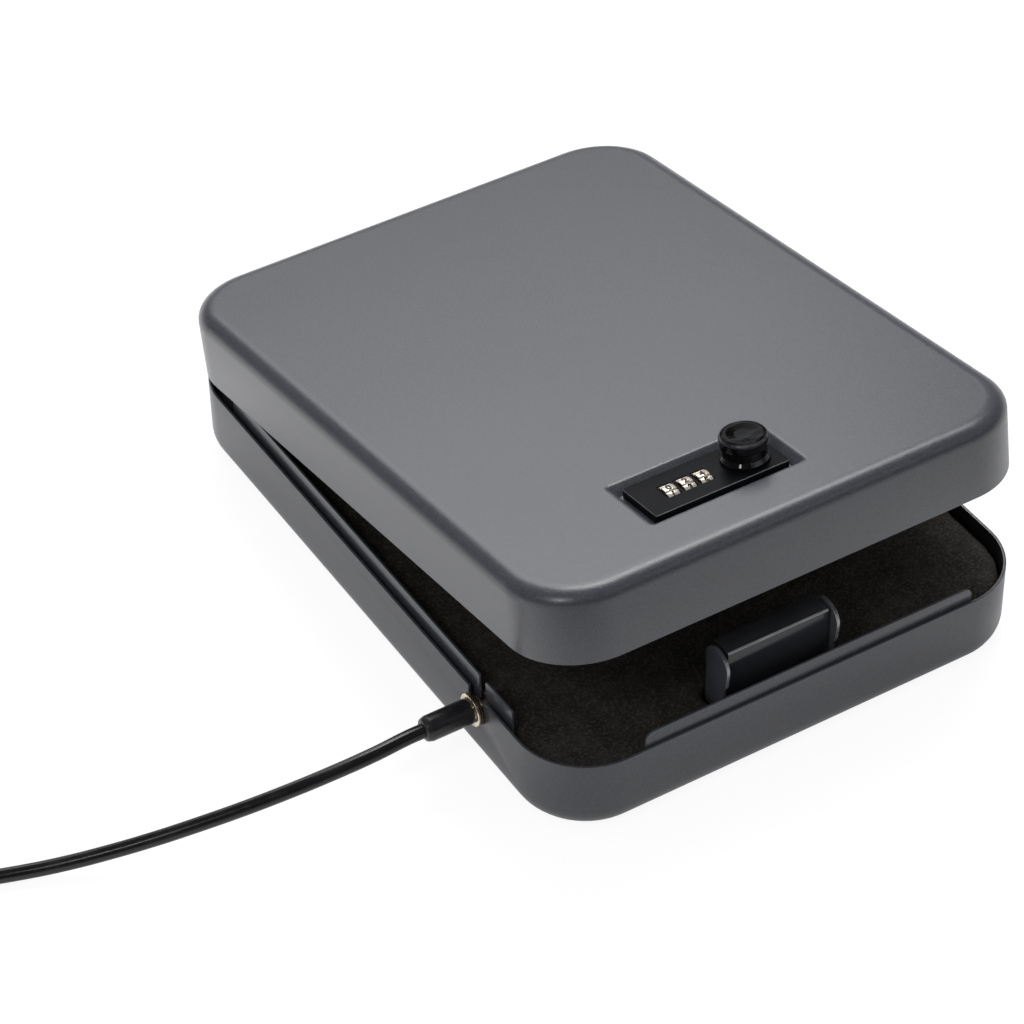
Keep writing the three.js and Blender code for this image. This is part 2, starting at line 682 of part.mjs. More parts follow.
const RECESS_HALF_WIDTH = PLATE_WIDTH / 2 + PLATE_END_GAP + RECESS_SLOPE;
const RECESS_HALF_DEPTH = PLATE_DEPTH / 2 + PLATE_SIDE_GAP + RECESS_SLOPE;
const RECESS_FLOOR = BOX_HEIGHT - RECESS_SINK;
const FLOOR_UNDERSIDE = RECESS_FLOOR - SHEET;
const PLATE_TOP = BOX_HEIGHT - PLATE_DROP;
const PLATE_BOTTOM = RECESS_FLOOR + CLEARANCE;
const DIAL_Z = PLATE_TOP + DIAL_PROUD - DIAL_RADIUS;
const DIALS_HALF = ((DIAL_COUNT - 1) * DIAL_PITCH + DIAL_WIDTH) / 2;
const WELL_HALF_X = DIALS_HALF + WELL_GAP;
const WELL_HALF_Y = DIAL_RADIUS + WELL_GAP;
const SPINDLE_BORE = SPINDLE_RADIUS + CLEARANCE;
const SCREW_HOLE = SCREW_RADIUS + CLEARANCE;
const BODY_TOP = FLOOR_UNDERSIDE - CLEARANCE;
const BACKPLATE_TOP = DIAL_Z - DIAL_RADIUS - CLEARANCE;
const BACKPLATE_BOTTOM = BACKPLATE_TOP - BACKPLATE;
const BODY_BOTTOM = BACKPLATE_TOP + CLEARANCE / 2;
const BODY_LEFT = PLATE_LEFT + BODY_INSET;
const BODY_RIGHT = PLATE_RIGHT - BODY_INSET;
const SCREW_PLACES = [
  [PLATE_LEFT + SCREW_LEFT_INSET, LOCK_Y],
  [PLATE_RIGHT - SCREW_RIGHT_INSET, LOCK_Y + SCREW_RIGHT_SHIFT],
];

// The holes for the spindle and the screws through a piece, and past both of its faces.
function lockHoles(bottom, top, screwTop) {
  const start = bottom - OVERCUT;
  const spindle = bar('z', SPINDLE_BORE, top + OVERCUT - start, [KNOB_X, LOCK_Y, start], ROUND_STEPS);
  const screwLength = screwTop + OVERCUT - start;
  const screws = SCREW_PLACES.map(([x, y]) => bar('z', SCREW_HOLE, screwLength, [x, y, start]));
  return [spindle, ...screws];
}

function dialX(index) {
  return DIAL_MIDDLE + (index - (DIAL_COUNT - 1) / 2) * DIAL_PITCH;
}

// A block with sloped sides between the recess's mouth and its floor, grown by a margin.
function recessBlock(margin, floor, mouth) {
  const perMillimetre = RECESS_SLOPE / RECESS_SINK;
  const level = (z) => {
    const grow = margin - RECESS_SLOPE + perMillimetre * (z - RECESS_FLOOR);
    const halfX = RECESS_HALF_WIDTH + grow;
    const halfY = RECESS_HALF_DEPTH + grow;
    return [[-1, -1], [1, -1], [1, 1], [-1, 1]].map(
      ([sx, sy]) => new THREE.Vector3(LOCK_X + sx * halfX, LOCK_Y + sy * halfY, z),
    );
  };
  return loft([level(floor), level(mouth)]);
}

function lidShell() {
  const dish = sheetDish(BOX_HEIGHT - LID_BOTTOM, LID_FILLET).scale(1, 1, -1).translate(0, 0, BOX_HEIGHT);
  const pan = recessBlock(SHEET, FLOOR_UNDERSIDE, BOX_HEIGHT - SHEET / 2);
  const windowHalfX = dialShaftLength() / 2 + CLEARANCE;
  const dialWindow = block(
    DIAL_MIDDLE - windowHalfX,
    DIAL_MIDDLE + windowHalfX,
    LOCK_Y - WELL_HALF_Y,
    LOCK_Y + WELL_HALF_Y,
    FLOOR_UNDERSIDE - OVERCUT,
    RECESS_FLOOR + OVERCUT,
  );
  return cut(
    joined(dish, pan),
    recessBlock(0, RECESS_FLOOR, BOX_HEIGHT + OVERCUT),
    dialWindow,
    ...lockHoles(FLOOR_UNDERSIDE, RECESS_FLOOR, RECESS_FLOOR),
    ...HINGE_RIVET_XS.map((x) => rivetHole(x, 1)),
  );
}

function lidFoam() {
  const ceiling = BOX_HEIGHT - SHEET - CLEARANCE;
  const halfX = INNER_X - LID_FOAM_GAP;
  const back = INNER_Y - LID_FOAM_GAP;
  const radius = CORNER_RADIUS - LID_FOAM_GAP;
  const front = LOCK_Y + BODY_HALF_DEPTH + LID_FOAM_LOCK_GAP;
  const shape = roundShoulders(-halfX, halfX, front, back, radius);
  return plate(shape, ceiling - LID_FOAM, ceiling);
}

add(lid, 'lid_shell', lidShell(), material.shell);
add(lid, 'lid_foam', lidFoam(), material.foam);

// Lock

function lockFaceplate() {
  const slab = block(
    PLATE_LEFT,
    PLATE_RIGHT,
    LOCK_Y - PLATE_DEPTH / 2,
    LOCK_Y + PLATE_DEPTH / 2,
    PLATE_BOTTOM,
    PLATE_TOP,
  );
  const relief = block(
    DIAL_MIDDLE - WELL_HALF_X,
    DIAL_MIDDLE + WELL_HALF_X,
    LOCK_Y - WELL_HALF_Y,
    LOCK_Y + WELL_HALF_Y,
    PLATE_BOTTOM - OVERCUT,
    PLATE_TOP - PLATE_SKIN,
  );
  const slots = [];
  for (let i = 0; i < DIAL_COUNT; i += 1) {
    const half = DIAL_WIDTH / 2 + SLOT_SIDE_GAP;
    slots.push(
      block(
        dialX(i) - half,
        dialX(i) + half,
        LOCK_Y - SLOT_LENGTH / 2,
        LOCK_Y + SLOT_LENGTH / 2,
        PLATE_BOTTOM,
        PLATE_TOP + OVERCUT,
      ),
    );
  }
  const screwDepth = PLATE_BOTTOM + PLATE_SKIN - OVERCUT;
  return cut(slab, relief, ...slots, ...lockHoles(PLATE_BOTTOM, PLATE_TOP, screwDepth));
}

function lockBody() {
  const well = block(
    DIAL_MIDDLE - WELL_HALF_X,
    DIAL_MIDDLE + WELL_HALF_X,
    LOCK_Y - WELL_HALF_Y,
    LOCK_Y + WELL_HALF_Y + SPRING_ROOM,
    BODY_BOTTOM - OVERCUT,
    BODY_TOP + OVERCUT,
  );
  const shaftStart = [dialShaftStart() - CLEARANCE, LOCK_Y, DIAL_Z];
  const shaftRoom = bar('x', SHAFT_RADIUS + CLEARANCE, dialShaftLength() + 2 * CLEARANCE, shaftStart);
  const holes = lockHoles(BODY_BOTTOM, BODY_TOP, BODY_TOP);
  return cut(lockBlock(BODY_BOTTOM, BODY_TOP), well, shaftRoom, ...holes);
}

function lockBlock(bottom, top) {
  const front = LOCK_Y - BODY_HALF_DEPTH;
  const back = LOCK_Y + BODY_HALF_DEPTH;
  return block(BODY_LEFT, BODY_RIGHT, front, back, bottom, top);
}

function lockBackplate() {
  const holes = lockHoles(BACKPLATE_BOTTOM, BACKPLATE_TOP, BACKPLATE_TOP);
  return cut(lockBlock(BACKPLATE_BOTTOM, BACKPLATE_TOP), ...holes);
}

function dialShaftStart() {
  return DIAL_MIDDLE - WELL_HALF_X - 2 * SHAFT_RADIUS;
}

function dialShaftLength() {
  return 2 * (WELL_HALF_X + 2 * SHAFT_RADIUS);
}

// A number wheel with a shallow notch between each two digits.
function dial(x) {
  const shape = new THREE.Shape();
  const step = (2 * Math.PI) / DIAL_DIGITS;
  const facet = [
    [0, DIAL_RADIUS - DIAL_NOTCH],
    [DIAL_NOTCH_SHARE, DIAL_RADIUS],
    [0.5, DIAL_RADIUS],
    [1 - DIAL_NOTCH_SHARE, DIAL_RADIUS],
  ];
  const points = [];
  for (let digit = 0; digit < DIAL_DIGITS; digit += 1) {
    for (const [share, radius] of facet) {
      const angle = (digit + share) * step;
      const y = LOCK_Y + radius * Math.cos(angle);
      const z = DIAL_Z + radius * Math.sin(angle);
      points.push(new THREE.Vector2(y, z));
    }
  }
  shape.setFromPoints(points);
  const bore = new THREE.Path();
  bore.absarc(LOCK_Y, DIAL_Z, SHAFT_RADIUS + CLEARANCE, 0, 2 * Math.PI);
  shape.holes.push(bore);
  return plateAcrossX(shape, x - DIAL_WIDTH / 2, x + DIAL_WIDTH / 2);
}

// A comb of three fingers, each with a bump towards its dial.
function detentSpring() {
  const back = LOCK_Y + WELL_HALF_Y + SPRING_ROOM - CLEARANCE;
  const front = back - SPRING_SHEET;
  const bump = LOCK_Y + DIAL_RADIUS + CLEARANCE;
  const foot = BODY_BOTTOM;
  const strip = rectangle(front, back, foot, foot + SPRING_FOOT);
  const finger = polygon([
    [front, foot + SPRING_FOOT / 2],
    [back, foot + SPRING_FOOT / 2],
    [back, DIAL_Z - SPRING_BUMP_DROP],
    [bump + SPRING_SHEET, DIAL_Z],
    [back, BODY_TOP],
    [front, BODY_TOP],
    [bump, DIAL_Z],
    [front, DIAL_Z - SPRING_BUMP_DROP],
  ]);
  const fingers = [];
  for (let i = 0; i < DIAL_COUNT; i += 1) {
    const half = (DIAL_WIDTH * SPRING_FINGER_SHARE) / 2;
    fingers.push(plateAcrossX(finger, dialX(i) - half, dialX(i) + half));
  }
  return joined(
    plateAcrossX(strip, DIAL_MIDDLE - WELL_HALF_X + CLEARANCE, DIAL_MIDDLE + WELL_HALF_X - CLEARANCE),
    ...fingers,
  );
}

// A screw from below: its head is under the backplate and its end is in the faceplate.
function lockScrew() {
  const seat = BACKPLATE_BOTTOM - CLEARANCE;
  return [
    [0, seat - SCREW_HEAD_HEIGHT],
    [SCREW_HEAD_RADIUS, seat - SCREW_HEAD_HEIGHT],
    [SCREW_HEAD_RADIUS, seat],
    [SCREW_RADIUS, seat],
    [SCREW_RADIUS, PLATE_BOTTOM + PLATE_SKIN - 2 * CLEARANCE],
    [0, PLATE_BOTTOM + PLATE_SKIN - 2 * CLEARANCE],
  ];
}

add(lid, 'lock_faceplate', lockFaceplate(), material.plate);
add(lid, 'lock_body', lockBody(), material.zinc);
add(lid, 'lock_backplate', lockBackplate(), material.zinc);
SCREW_PLACES.forEach(([x, y], i) => {
  add(lid, `lock_screw_${i + 1}`, turned('z', lockScrew(), [x, y, 0]), material.zinc);
});
const shaftBar = bar('x', SHAFT_RADIUS, dialShaftLength(), [dialShaftStart(), LOCK_Y, DIAL_Z]);
add(lid, 'dial_shaft', shaftBar, material.zinc);
add(lid, 'dial_detent_spring', detentSpring(), material.zinc);
for (let i = 0; i < DIAL_COUNT; i += 1) {
  add(lid, `dial_${i + 1}`, dial(dialX(i)), material.dial);
}

// Knob and cam

const CAM_TOP = BACKPLATE_BOTTOM - CLEARANCE;
const CAM_BOTTOM = CAM_TOP - CAM_SHEET;
const CAM_REACH = LOCK_Y - (STRIKE_FRONT + STRIKE_SHEET + CAM_TIP_GAP);
const KNOB_BOTTOM = PLATE_TOP + CLEARANCE;
const KNOB_TOP = KNOB_BOTTOM + KNOB_HEIGHT;
const SPINDLE_TOP = KNOB_TOP - KNOB_HEIGHT / 2;

function knob() {
  const waist0 = KNOB_BOTTOM + KNOB_SKIRT;
  const waist1 = waist0 + KNOB_WAIST;
  const ease = KNOB_CHAMFER / 2;
  return [
    [0, SPINDLE_TOP + CLEARANCE],
    [SPINDLE_BORE, SPINDLE_TOP + CLEARANCE],
    [SPINDLE_BORE, KNOB_BOTTOM],
    [KNOB_SKIRT_RADIUS, KNOB_BOTTOM],
    [KNOB_SKIRT_RADIUS, waist0 - ease],
    [KNOB_WAIST_RADIUS, waist0],
    [KNOB_WAIST_RADIUS, waist1],
    [KNOB_CAP_RADIUS, waist1 + ease],
    [KNOB_CAP_RADIUS, KNOB_TOP - KNOB_CHAMFER],
    [KNOB_TOP_RADIUS, KNOB_TOP],
    [0, KNOB_TOP - KNOB_DISH],
  ];
}

// A round spindle with a square tang under it that carries the cam.
function knobSpindle() {
  const tang = TANG / 2;
  const round = bar('z', SPINDLE_RADIUS, SPINDLE_TOP - CAM_TOP, [KNOB_X, LOCK_Y, CAM_TOP], ROUND_STEPS);
  const square = block(
    KNOB_X - tang,
    KNOB_X + tang,
    LOCK_Y - tang,
    LOCK_Y + tang,
    CAM_BOTTOM,
    CAM_TOP + OVERCUT,
  );
  const threadStart = [KNOB_X, LOCK_Y, CAM_BOTTOM - OVERCUT];
  const thread = bar('z', SCREW_HOLE, CAM_SCREW_LENGTH + OVERCUT, threadStart);
  return cut(joined(round, square), thread);
}

// The cam points to the left when the lock is open and under the strike when it is locked.
function lockCam() {
  const shape = new THREE.Shape();
  const tipX = KNOB_X - CAM_REACH + CAM_HALF_WIDTH;
  const touch = Math.asin(CAM_HALF_WIDTH / CAM_HUB_RADIUS);
  shape.absarc(KNOB_X, LOCK_Y, CAM_HUB_RADIUS, touch - Math.PI, Math.PI - touch);
  shape.absarc(tipX, LOCK_Y, CAM_HALF_WIDTH, Math.PI / 2, (3 * Math.PI) / 2);
  const half = TANG / 2 + CLEARANCE;
  const hole = rectangle(KNOB_X - half, KNOB_X + half, LOCK_Y - half, LOCK_Y + half);
  shape.holes.push(new THREE.Path(hole.getPoints()));
  return plate(shape, CAM_BOTTOM, CAM_TOP - CLEARANCE / 2);
}

function camWasher() {
  const top = CAM_BOTTOM - CLEARANCE;
  return [
    [SCREW_HOLE, top - WASHER_SHEET],
    [WASHER_RADIUS, top - WASHER_SHEET],
    [WASHER_RADIUS, top],
    [SCREW_HOLE, top],
    [SCREW_HOLE, top - WASHER_SHEET],
  ];
}

function camScrew() {
  const seat = CAM_BOTTOM - CLEARANCE - WASHER_SHEET - CLEARANCE;
  return [
    [0, seat - CAM_SCREW_HEAD_HEIGHT],
    [CAM_SCREW_HEAD_RADIUS, seat - CAM_SCREW_HEAD_HEIGHT],
    [CAM_SCREW_HEAD_RADIUS, seat],
    [SCREW_RADIUS, seat],
    [SCREW_RADIUS, CAM_BOTTOM + CAM_SCREW_LENGTH - CLEARANCE],
    [0, CAM_BOTTOM + CAM_SCREW_LENGTH - CLEARANCE],
  ];
}

const knobPlace = [KNOB_X, LOCK_Y, 0];
add(lid, 'knob', turned('z', knob(), knobPlace, ROUND_STEPS), material.knob);
add(lid, 'knob_spindle', knobSpindle(), material.zinc);
add(lid, 'lock_cam', lockCam(), material.zinc);
add(lid, 'cam_washer', turned('z', camWasher(), knobPlace), material.zinc);
add(lid, 'cam_screw', turned('z', camScrew(), knobPlace), material.zinc);

// Cable fitting, turned about the cable's axis. Distances run outwards from the middle of the box.

const RING_START = WALL_X + CLEARANCE;
const FLANGE_START = RING_START + WASHER_RING + CLEARANCE;
const SLEEVE_START = FLANGE_START + FLANGE + CLEARANCE;
const SLEEVE_END = SLEEVE_START + SLEEVE;

function turnedOutwards(profile) {
  const along = turned('x', profile, [0, 0, 0], FITTING_STEPS);
  return along.rotateZ(Math.PI).translate(0, CABLE_Y, CABLE_Z);
}

function cableFitting() {
  const headEnd = WALL_X - SIDE_LIP_INSET - LIP_SHEET - CLEARANCE;
  return [
    [0, headEnd - FITTING_HEAD],
    [FITTING_HEAD_RADIUS, headEnd - FITTING_HEAD],
    [FITTING_HEAD_RADIUS, headEnd],
    [NECK_RADIUS, headEnd],
    [NECK_RADIUS, INNER_X - CLEARANCE],
    [COLLAR_RADIUS, INNER_X - CLEARANCE],
    [COLLAR_RADIUS, FLANGE_START],
    [FLANGE_RADIUS, FLANGE_START],
    [FLANGE_RADIUS, FLANGE_START + FLANGE],
    [BARREL_RADIUS, FLANGE_START + FLANGE],
    [BARREL_RADIUS, FLANGE_START + FLANGE + BARREL],
    [0, FLANGE_START + FLANGE + BARREL],
  ];
}

function cableWasher() {
  const bore = COLLAR_RADIUS + CLEARANCE;
  return [
    [bore, RING_START],
    [FLANGE_RADIUS, RING_START],
    [FLANGE_RADIUS, RING_START + WASHER_RING],
    [bore, RING_START + WASHER_RING],
    [bore, RING_START],
  ];
}

function cableSleeve() {
  const bore = BARREL_RADIUS + CLEARANCE;
  const barrelEnd = FLANGE_START + FLANGE + BARREL + CLEARANCE;
  return [
    [0, barrelEnd],
    [bore, barrelEnd],
    [bore, SLEEVE_START],
    [SLEEVE_RADIUS, SLEEVE_START],
    [SLEEVE_RADIUS, barrelEnd],
    [SLEEVE_TIP_RADIUS + SLEEVE_TIP_EDGE, SLEEVE_END - SLEEVE_TIP_EDGE],
    [SLEEVE_TIP_RADIUS, SLEEVE_END],
    [0, SLEEVE_END],
  ];
}

add(group, 'cable_fitting', turnedOutwards(cableFitting()), material.brass);
add(group, 'cable_washer', turnedOutwards(cableWasher()), material.brass);
add(group, 'cable_sleeve', turnedOutwards(cableSleeve()), material.vinyl);

// Cable. It leaves the sleeve, comes down to the floor and lies in a neat coil.

const RUN_START = SLEEVE_END + CLEARANCE;
const COIL_CENTRE = new THREE.Vector3(-318, 7, CABLE_RADIUS);
const COIL_ENTRY = THREE.MathUtils.degToRad(248);
const COIL_EXIT = THREE.MathUtils.degToRad(180);
const CLIMB_TURNS = 0.5;
const FULL_TURNS = 4;
const COIL_TURNS = FULL_TURNS + (COIL_ENTRY - COIL_EXIT) / (2 * Math.PI);
const BUTT = 2 * CABLE_RADIUS;

// The coil's centreline: in over the bottom layer, up a layer, and out over the top one.
// The spiral reverses halfway up the climb.
function coilPoint(turns) {
  const reversal = COIL_LAYER_TURNS + CLIMB_TURNS / 2;
  const inwards = Math.min(turns, reversal) - Math.max(turns - reversal, 0);
  const radius = COIL_RADIUS - COIL_PITCH * inwards;
  const climb = THREE.MathUtils.clamp((turns - COIL_LAYER_TURNS) / CLIMB_TURNS, 0, 1);
  const angle = COIL_ENTRY - turns * 2 * Math.PI;
  return new THREE.Vector3(
    COIL_CENTRE.x + radius * Math.cos(angle),
    COIL_CENTRE.y + radius * Math.sin(angle),
    COIL_CENTRE.z + COIL_PITCH * climb,
  );
}

// The coil's heading at one of its ends, level with the floor and square to the radius.
function coilHeading(angle) {
  return new THREE.Vector3(Math.sin(angle), -Math.cos(angle), 0);
}

function coilPoints() {
  const count = Math.round(COIL_TURNS * COIL_STEPS);
  const points = [];
  for (let step = 0; step <= count; step += 1) {
    points.push(coilPoint((COIL_TURNS * step) / count));
  }
  const entry = points[0].clone().addScaledVector(coilHeading(COIL_ENTRY), -BUTT);
  const exit = points[count].clone().addScaledVector(coilHeading(COIL_EXIT), BUTT);
  return [entry, ...points, exit];
}

// A tube of flat-sided rings about a row of points, its sections upright.
function ringTube(points, radius, sides) {
  const up = new THREE.Vector3(0, 0, 1);
  const rings = points.map((point, i) => {
    const before = points[Math.max(i - 1, 0)];
    const after = points[Math.min(i + 1, points.length - 1)];
    const ahead = after.clone().sub(before).normalize();
    const side = ahead.clone().cross(up).normalize();
    const rise = side.clone().cross(ahead);
    return Array.from({ length: sides }, (unused, k) => {
      const angle = (k / sides) * 2 * Math.PI;
      return point
        .clone()
        .addScaledVector(side, radius * Math.cos(angle))
        .addScaledVector(rise, radius * Math.sin(angle));
    });
  });
  return loft(rings);
}

// The least distance between two stretches of the coil that are over half a turn apart.
function leastGap(points, radius) {
  let least = Infinity;
  points.forEach((point, i) => {
    for (let j = i + COIL_STEPS / 2; j < points.length; j += 1) {
      least = Math.min(least, point.distanceTo(points[j]));
    }
  });
  return least - 2 * radius;
}

function runCurve(coilStart) {
  const arrival = coilHeading(COIL_ENTRY);
  const end = coilStart.clone().addScaledVector(arrival, -CLEARANCE);
  return new THREE.CatmullRomCurve3(
    [
      new THREE.Vector3(-RUN_START, CABLE_Y, CABLE_Z),
      new THREE.Vector3(-RUN_START - BUTT, CABLE_Y, CABLE_Z),
      new THREE.Vector3(-151, -87.6, 25.7),
      new THREE.Vector3(-169, -86.2, 23.9),
      new THREE.Vector3(-186, -83.3, 21.2),
      new THREE.Vector3(-202, -79.4, 18),
      new THREE.Vector3(-218, -74.8, 14.7),
      new THREE.Vector3(-234, -69.7, 11.4),
      new THREE.Vector3(-249.5, -64.2, 8.4),
      new THREE.Vector3(-265, -58.4, 5.9),
      new THREE.Vector3(-280, -52.4, 4.2),
      new THREE.Vector3(-300, -44.2, 3.2),
      end.clone().addScaledVector(arrival, -BUTT),
      end,
    ],
    false,
    'centripetal',
  );
}

function tailCurve(coilEnd) {
  const heading = coilHeading(COIL_EXIT);
  const start = coilEnd.clone().addScaledVector(heading, CLEARANCE);
  const at = (along, z) => start.clone().addScaledVector(heading, along).setZ(z);
  return new THREE.CatmullRomCurve3(
    [
      start,
      at(BUTT, start.z),
      at(TAIL_LEVEL, start.z - 0.4),
      at(TAIL_LEVEL + TAIL_DROP / 2, (start.z + FERRULE_HALF_HEIGHT) / 2),
      at(TAIL_LEVEL + TAIL_DROP, FERRULE_HALF_HEIGHT),
      at(TAIL_LEVEL + TAIL_DROP + BUTT, FERRULE_HALF_HEIGHT),
    ],
    false,
    'centripetal',
  );
}

// The swaged sleeve that closes the eye, a stadium in section.
function ferrule(x, y) {
  const shape = new THREE.Shape();
  const flat = FERRULE_HALF_WIDTH - FERRULE_HALF_HEIGHT;
  shape.absarc(x + flat, FERRULE_HALF_HEIGHT, FERRULE_HALF_HEIGHT, -Math.PI / 2, Math.PI / 2);
  shape.absarc(x - flat, FERRULE_HALF_HEIGHT, FERRULE_HALF_HEIGHT, Math.PI / 2, (3 * Math.PI) / 2);
  return plateAcrossY(shape, y, y + FERRULE_LENGTH);
}

function eyeCurve(x, y) {
  const side = CABLE_RADIUS + CLEARANCE;
  const at = (across, along) => new THREE.Vector3(x + across, y + along, FERRULE_HALF_HEIGHT);
  const wide = EYE_HALF_WIDTH - CABLE_RADIUS;
  const widest = EYE_LENGTH * EYE_WIDEST_SHARE;
  const bend = EYE_LENGTH * EYE_BEND_LENGTH_SHARE;
  const bendWide = wide * EYE_BEND_WIDTH_SHARE;
  return new THREE.CatmullRomCurve3(
    [
      at(-side, 0),
      at(-side, BUTT),
      at(-wide, widest),
      at(-bendWide, bend),
      at(0, EYE_LENGTH),
      at(bendWide, bend),
      at(wide, widest),
      at(side, BUTT),
      at(side, 0),
    ],
    false,
    'centripetal',
  );
}

const coil = coilPoints();
console.log(`least gap of the coil to itself: ${leastGap(coil, CABLE_RADIUS).toFixed(2)} mm`);
add(group, 'cable_coil', ringTube(coil, CABLE_RADIUS, COIL_SIDES), material.vinyl);
const runTube = tube(runCurve(coil[0]), CABLE_RADIUS, RUN_STEPS, CABLE_SIDES);
add(group, 'cable_run', runTube, material.vinyl);
const coilEnd = coil[coil.length - 1];
const tailTube = tube(tailCurve(coilEnd), CABLE_RADIUS, TAIL_STEPS, CABLE_SIDES);
add(group, 'cable_tail', tailTube, material.vinyl);
const tailLength = CLEARANCE + TAIL_LEVEL + TAIL_DROP + BUTT;
const ferruleStart = coilEnd.y + tailLength + CLEARANCE;
add(group, 'cable_ferrule', ferrule(coilEnd.x, ferruleStart), material.zinc);
const eyeStart = ferruleStart + FERRULE_LENGTH + CLEARANCE;
const eyeTube = tube(eyeCurve(coilEnd.x, eyeStart), CABLE_RADIUS, EYE_STEPS, CABLE_SIDES);
add(group, 'cable_eye', eyeTube, material.vinyl);

export default group;
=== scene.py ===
# The dressed model of a portable car safe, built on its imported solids.
# Lengths are millimetres until a mesh is made. What is on the lid is drawn as if it were closed,
# and turned up to where it stands ajar when it is fitted.
import math

import bmesh
import bpy
from mathutils import Matrix, Vector


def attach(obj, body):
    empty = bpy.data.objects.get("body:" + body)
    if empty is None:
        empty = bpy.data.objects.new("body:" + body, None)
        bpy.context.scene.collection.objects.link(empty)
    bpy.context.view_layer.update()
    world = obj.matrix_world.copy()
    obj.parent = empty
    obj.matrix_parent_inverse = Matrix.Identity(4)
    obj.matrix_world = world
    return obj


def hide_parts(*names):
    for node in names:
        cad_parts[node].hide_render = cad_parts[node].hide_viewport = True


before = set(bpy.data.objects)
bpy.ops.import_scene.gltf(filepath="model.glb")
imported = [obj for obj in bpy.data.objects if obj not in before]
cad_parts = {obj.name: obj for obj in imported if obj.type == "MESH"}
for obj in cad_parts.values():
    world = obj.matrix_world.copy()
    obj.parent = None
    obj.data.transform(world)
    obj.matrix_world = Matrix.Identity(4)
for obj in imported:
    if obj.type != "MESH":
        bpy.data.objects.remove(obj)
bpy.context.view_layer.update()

MM = 0.001

# Camera, from the fit to the photograph. Its place is in metres
CAMERA_PLACE = (-0.59507, -0.93578, 0.98823)
CAMERA_AZIMUTH = math.radians(-30.73)
CAMERA_ELEVATION = math.radians(41.485)
CAMERA_ROLL = math.radians(-1.193)
CAMERA_LENS = 129.33
SENSOR_WIDTH = 36

# Box
BOX_WIDTH = 216
BOX_DEPTH = 292.3
BOX_HEIGHT = 64
BASE_HEIGHT = 33.5
PARTING_GAP = 0.3
SHEET = 1.2
CORNER_RADIUS = 29.4
BASE_FILLET = 9.5
LID_FILLET = 6
LID_FILLET_SPREAD = 1.25
RIM_EDGE = 0.3
CLEARANCE = 0.3
WALL_X = BOX_WIDTH / 2
WALL_Y = BOX_DEPTH / 2
INNER_X = WALL_X - SHEET
INNER_Y = WALL_Y - SHEET
LID_BOTTOM = BASE_HEIGHT + PARTING_GAP

# Hinge
HINGE_SETBACK = 3.75
HINGE_Y = WALL_Y + HINGE_SETBACK
HINGE_Z = BASE_HEIGHT + PARTING_GAP / 2
HINGE_LENGTH = 150
HINGE_LEAF = 1
HINGE_LEAF_HEIGHT = 15
HINGE_KNUCKLES = 5
KNUCKLE_GAP = 0.4
KNUCKLE_RADIUS = HINGE_SETBACK - CLEARANCE
KNUCKLE_LENGTH = (HINGE_LENGTH - (HINGE_KNUCKLES - 1) * KNUCKLE_GAP) / HINGE_KNUCKLES
KNUCKLE_STEP = KNUCKLE_LENGTH + KNUCKLE_GAP
LEAF_Y = WALL_Y + CLEARANCE
PIN_RADIUS = 1.45
PIN_HEAD_RADIUS = 2.6
PIN_HEAD_LENGTH = 1.2
HINGE_RIVETS = 3
HINGE_RIVET_PITCH = 55
HINGE_RIVET_FIRST = -(HINGE_RIVETS - 1) / 2 * HINGE_RIVET_PITCH
HINGE_RIVET_DROP = 10.5
LID_AJAR = math.radians(9.5)
HINGE_LINE = Matrix.Translation((0, HINGE_Y * MM, HINGE_Z * MM))
LID_TURN = HINGE_LINE @ Matrix.Rotation(-LID_AJAR, 4, "X") @ HINGE_LINE.inverted()

# Rivets and screws
RIVET_RADIUS = 1.4
RIVET_HOLE = RIVET_RADIUS + CLEARANCE
RIVET_HEAD_RADIUS = 3
RIVET_HEAD_HEIGHT = 1

# Lips
LIP_SHEET = 1
LIP_TOP = BASE_HEIGHT + 6.4
LIP_BOTTOM = 11
LIP_CORNER = 4
SIDE_LIP_CORNER = 1.4
LIP_EDGE = 0.25
FRONT_LIP_LEFT = -WALL_X + 38
FRONT_LIP_RIGHT = WALL_X - 30.2
FRONT_LIP_FACE = -WALL_Y + 1.6
SIDE_LIP_INSET = 3
SIDE_LIP_BEND = BASE_HEIGHT - 9.5
SIDE_LIP_BACK = WALL_Y - 38.15
LEFT_LIP_FRONT = -WALL_Y + 37.95
RIGHT_LIP_FRONT = -WALL_Y + 58.15
LIP_SLOT_WIDTH = 4.1

# Foam
FOAM_TOP = BASE_HEIGHT - 5
FOAM_X = INNER_X - 1
FOAM_Y = INNER_Y - 1
FOAM_CORNER = CORNER_RADIUS - SHEET - 1
FOAM_FILLET = 3
FOAM_BOTTOM_FILLET = BASE_FILLET - SHEET
FOAM_CUT_GAP = 2
FOAM_REST = SHEET + CLEARANCE + 0.2
FOAM_VOXEL = 2.2
FOAM_LUMP = 5.2
FOAM_LUMP_DEPTH = 0.88
FOAM_LUMP_MIDDLE = 0.6
LID_FOAM = 5.5
LID_FOAM_GAP = 5
LID_FOAM_CORNER = 3

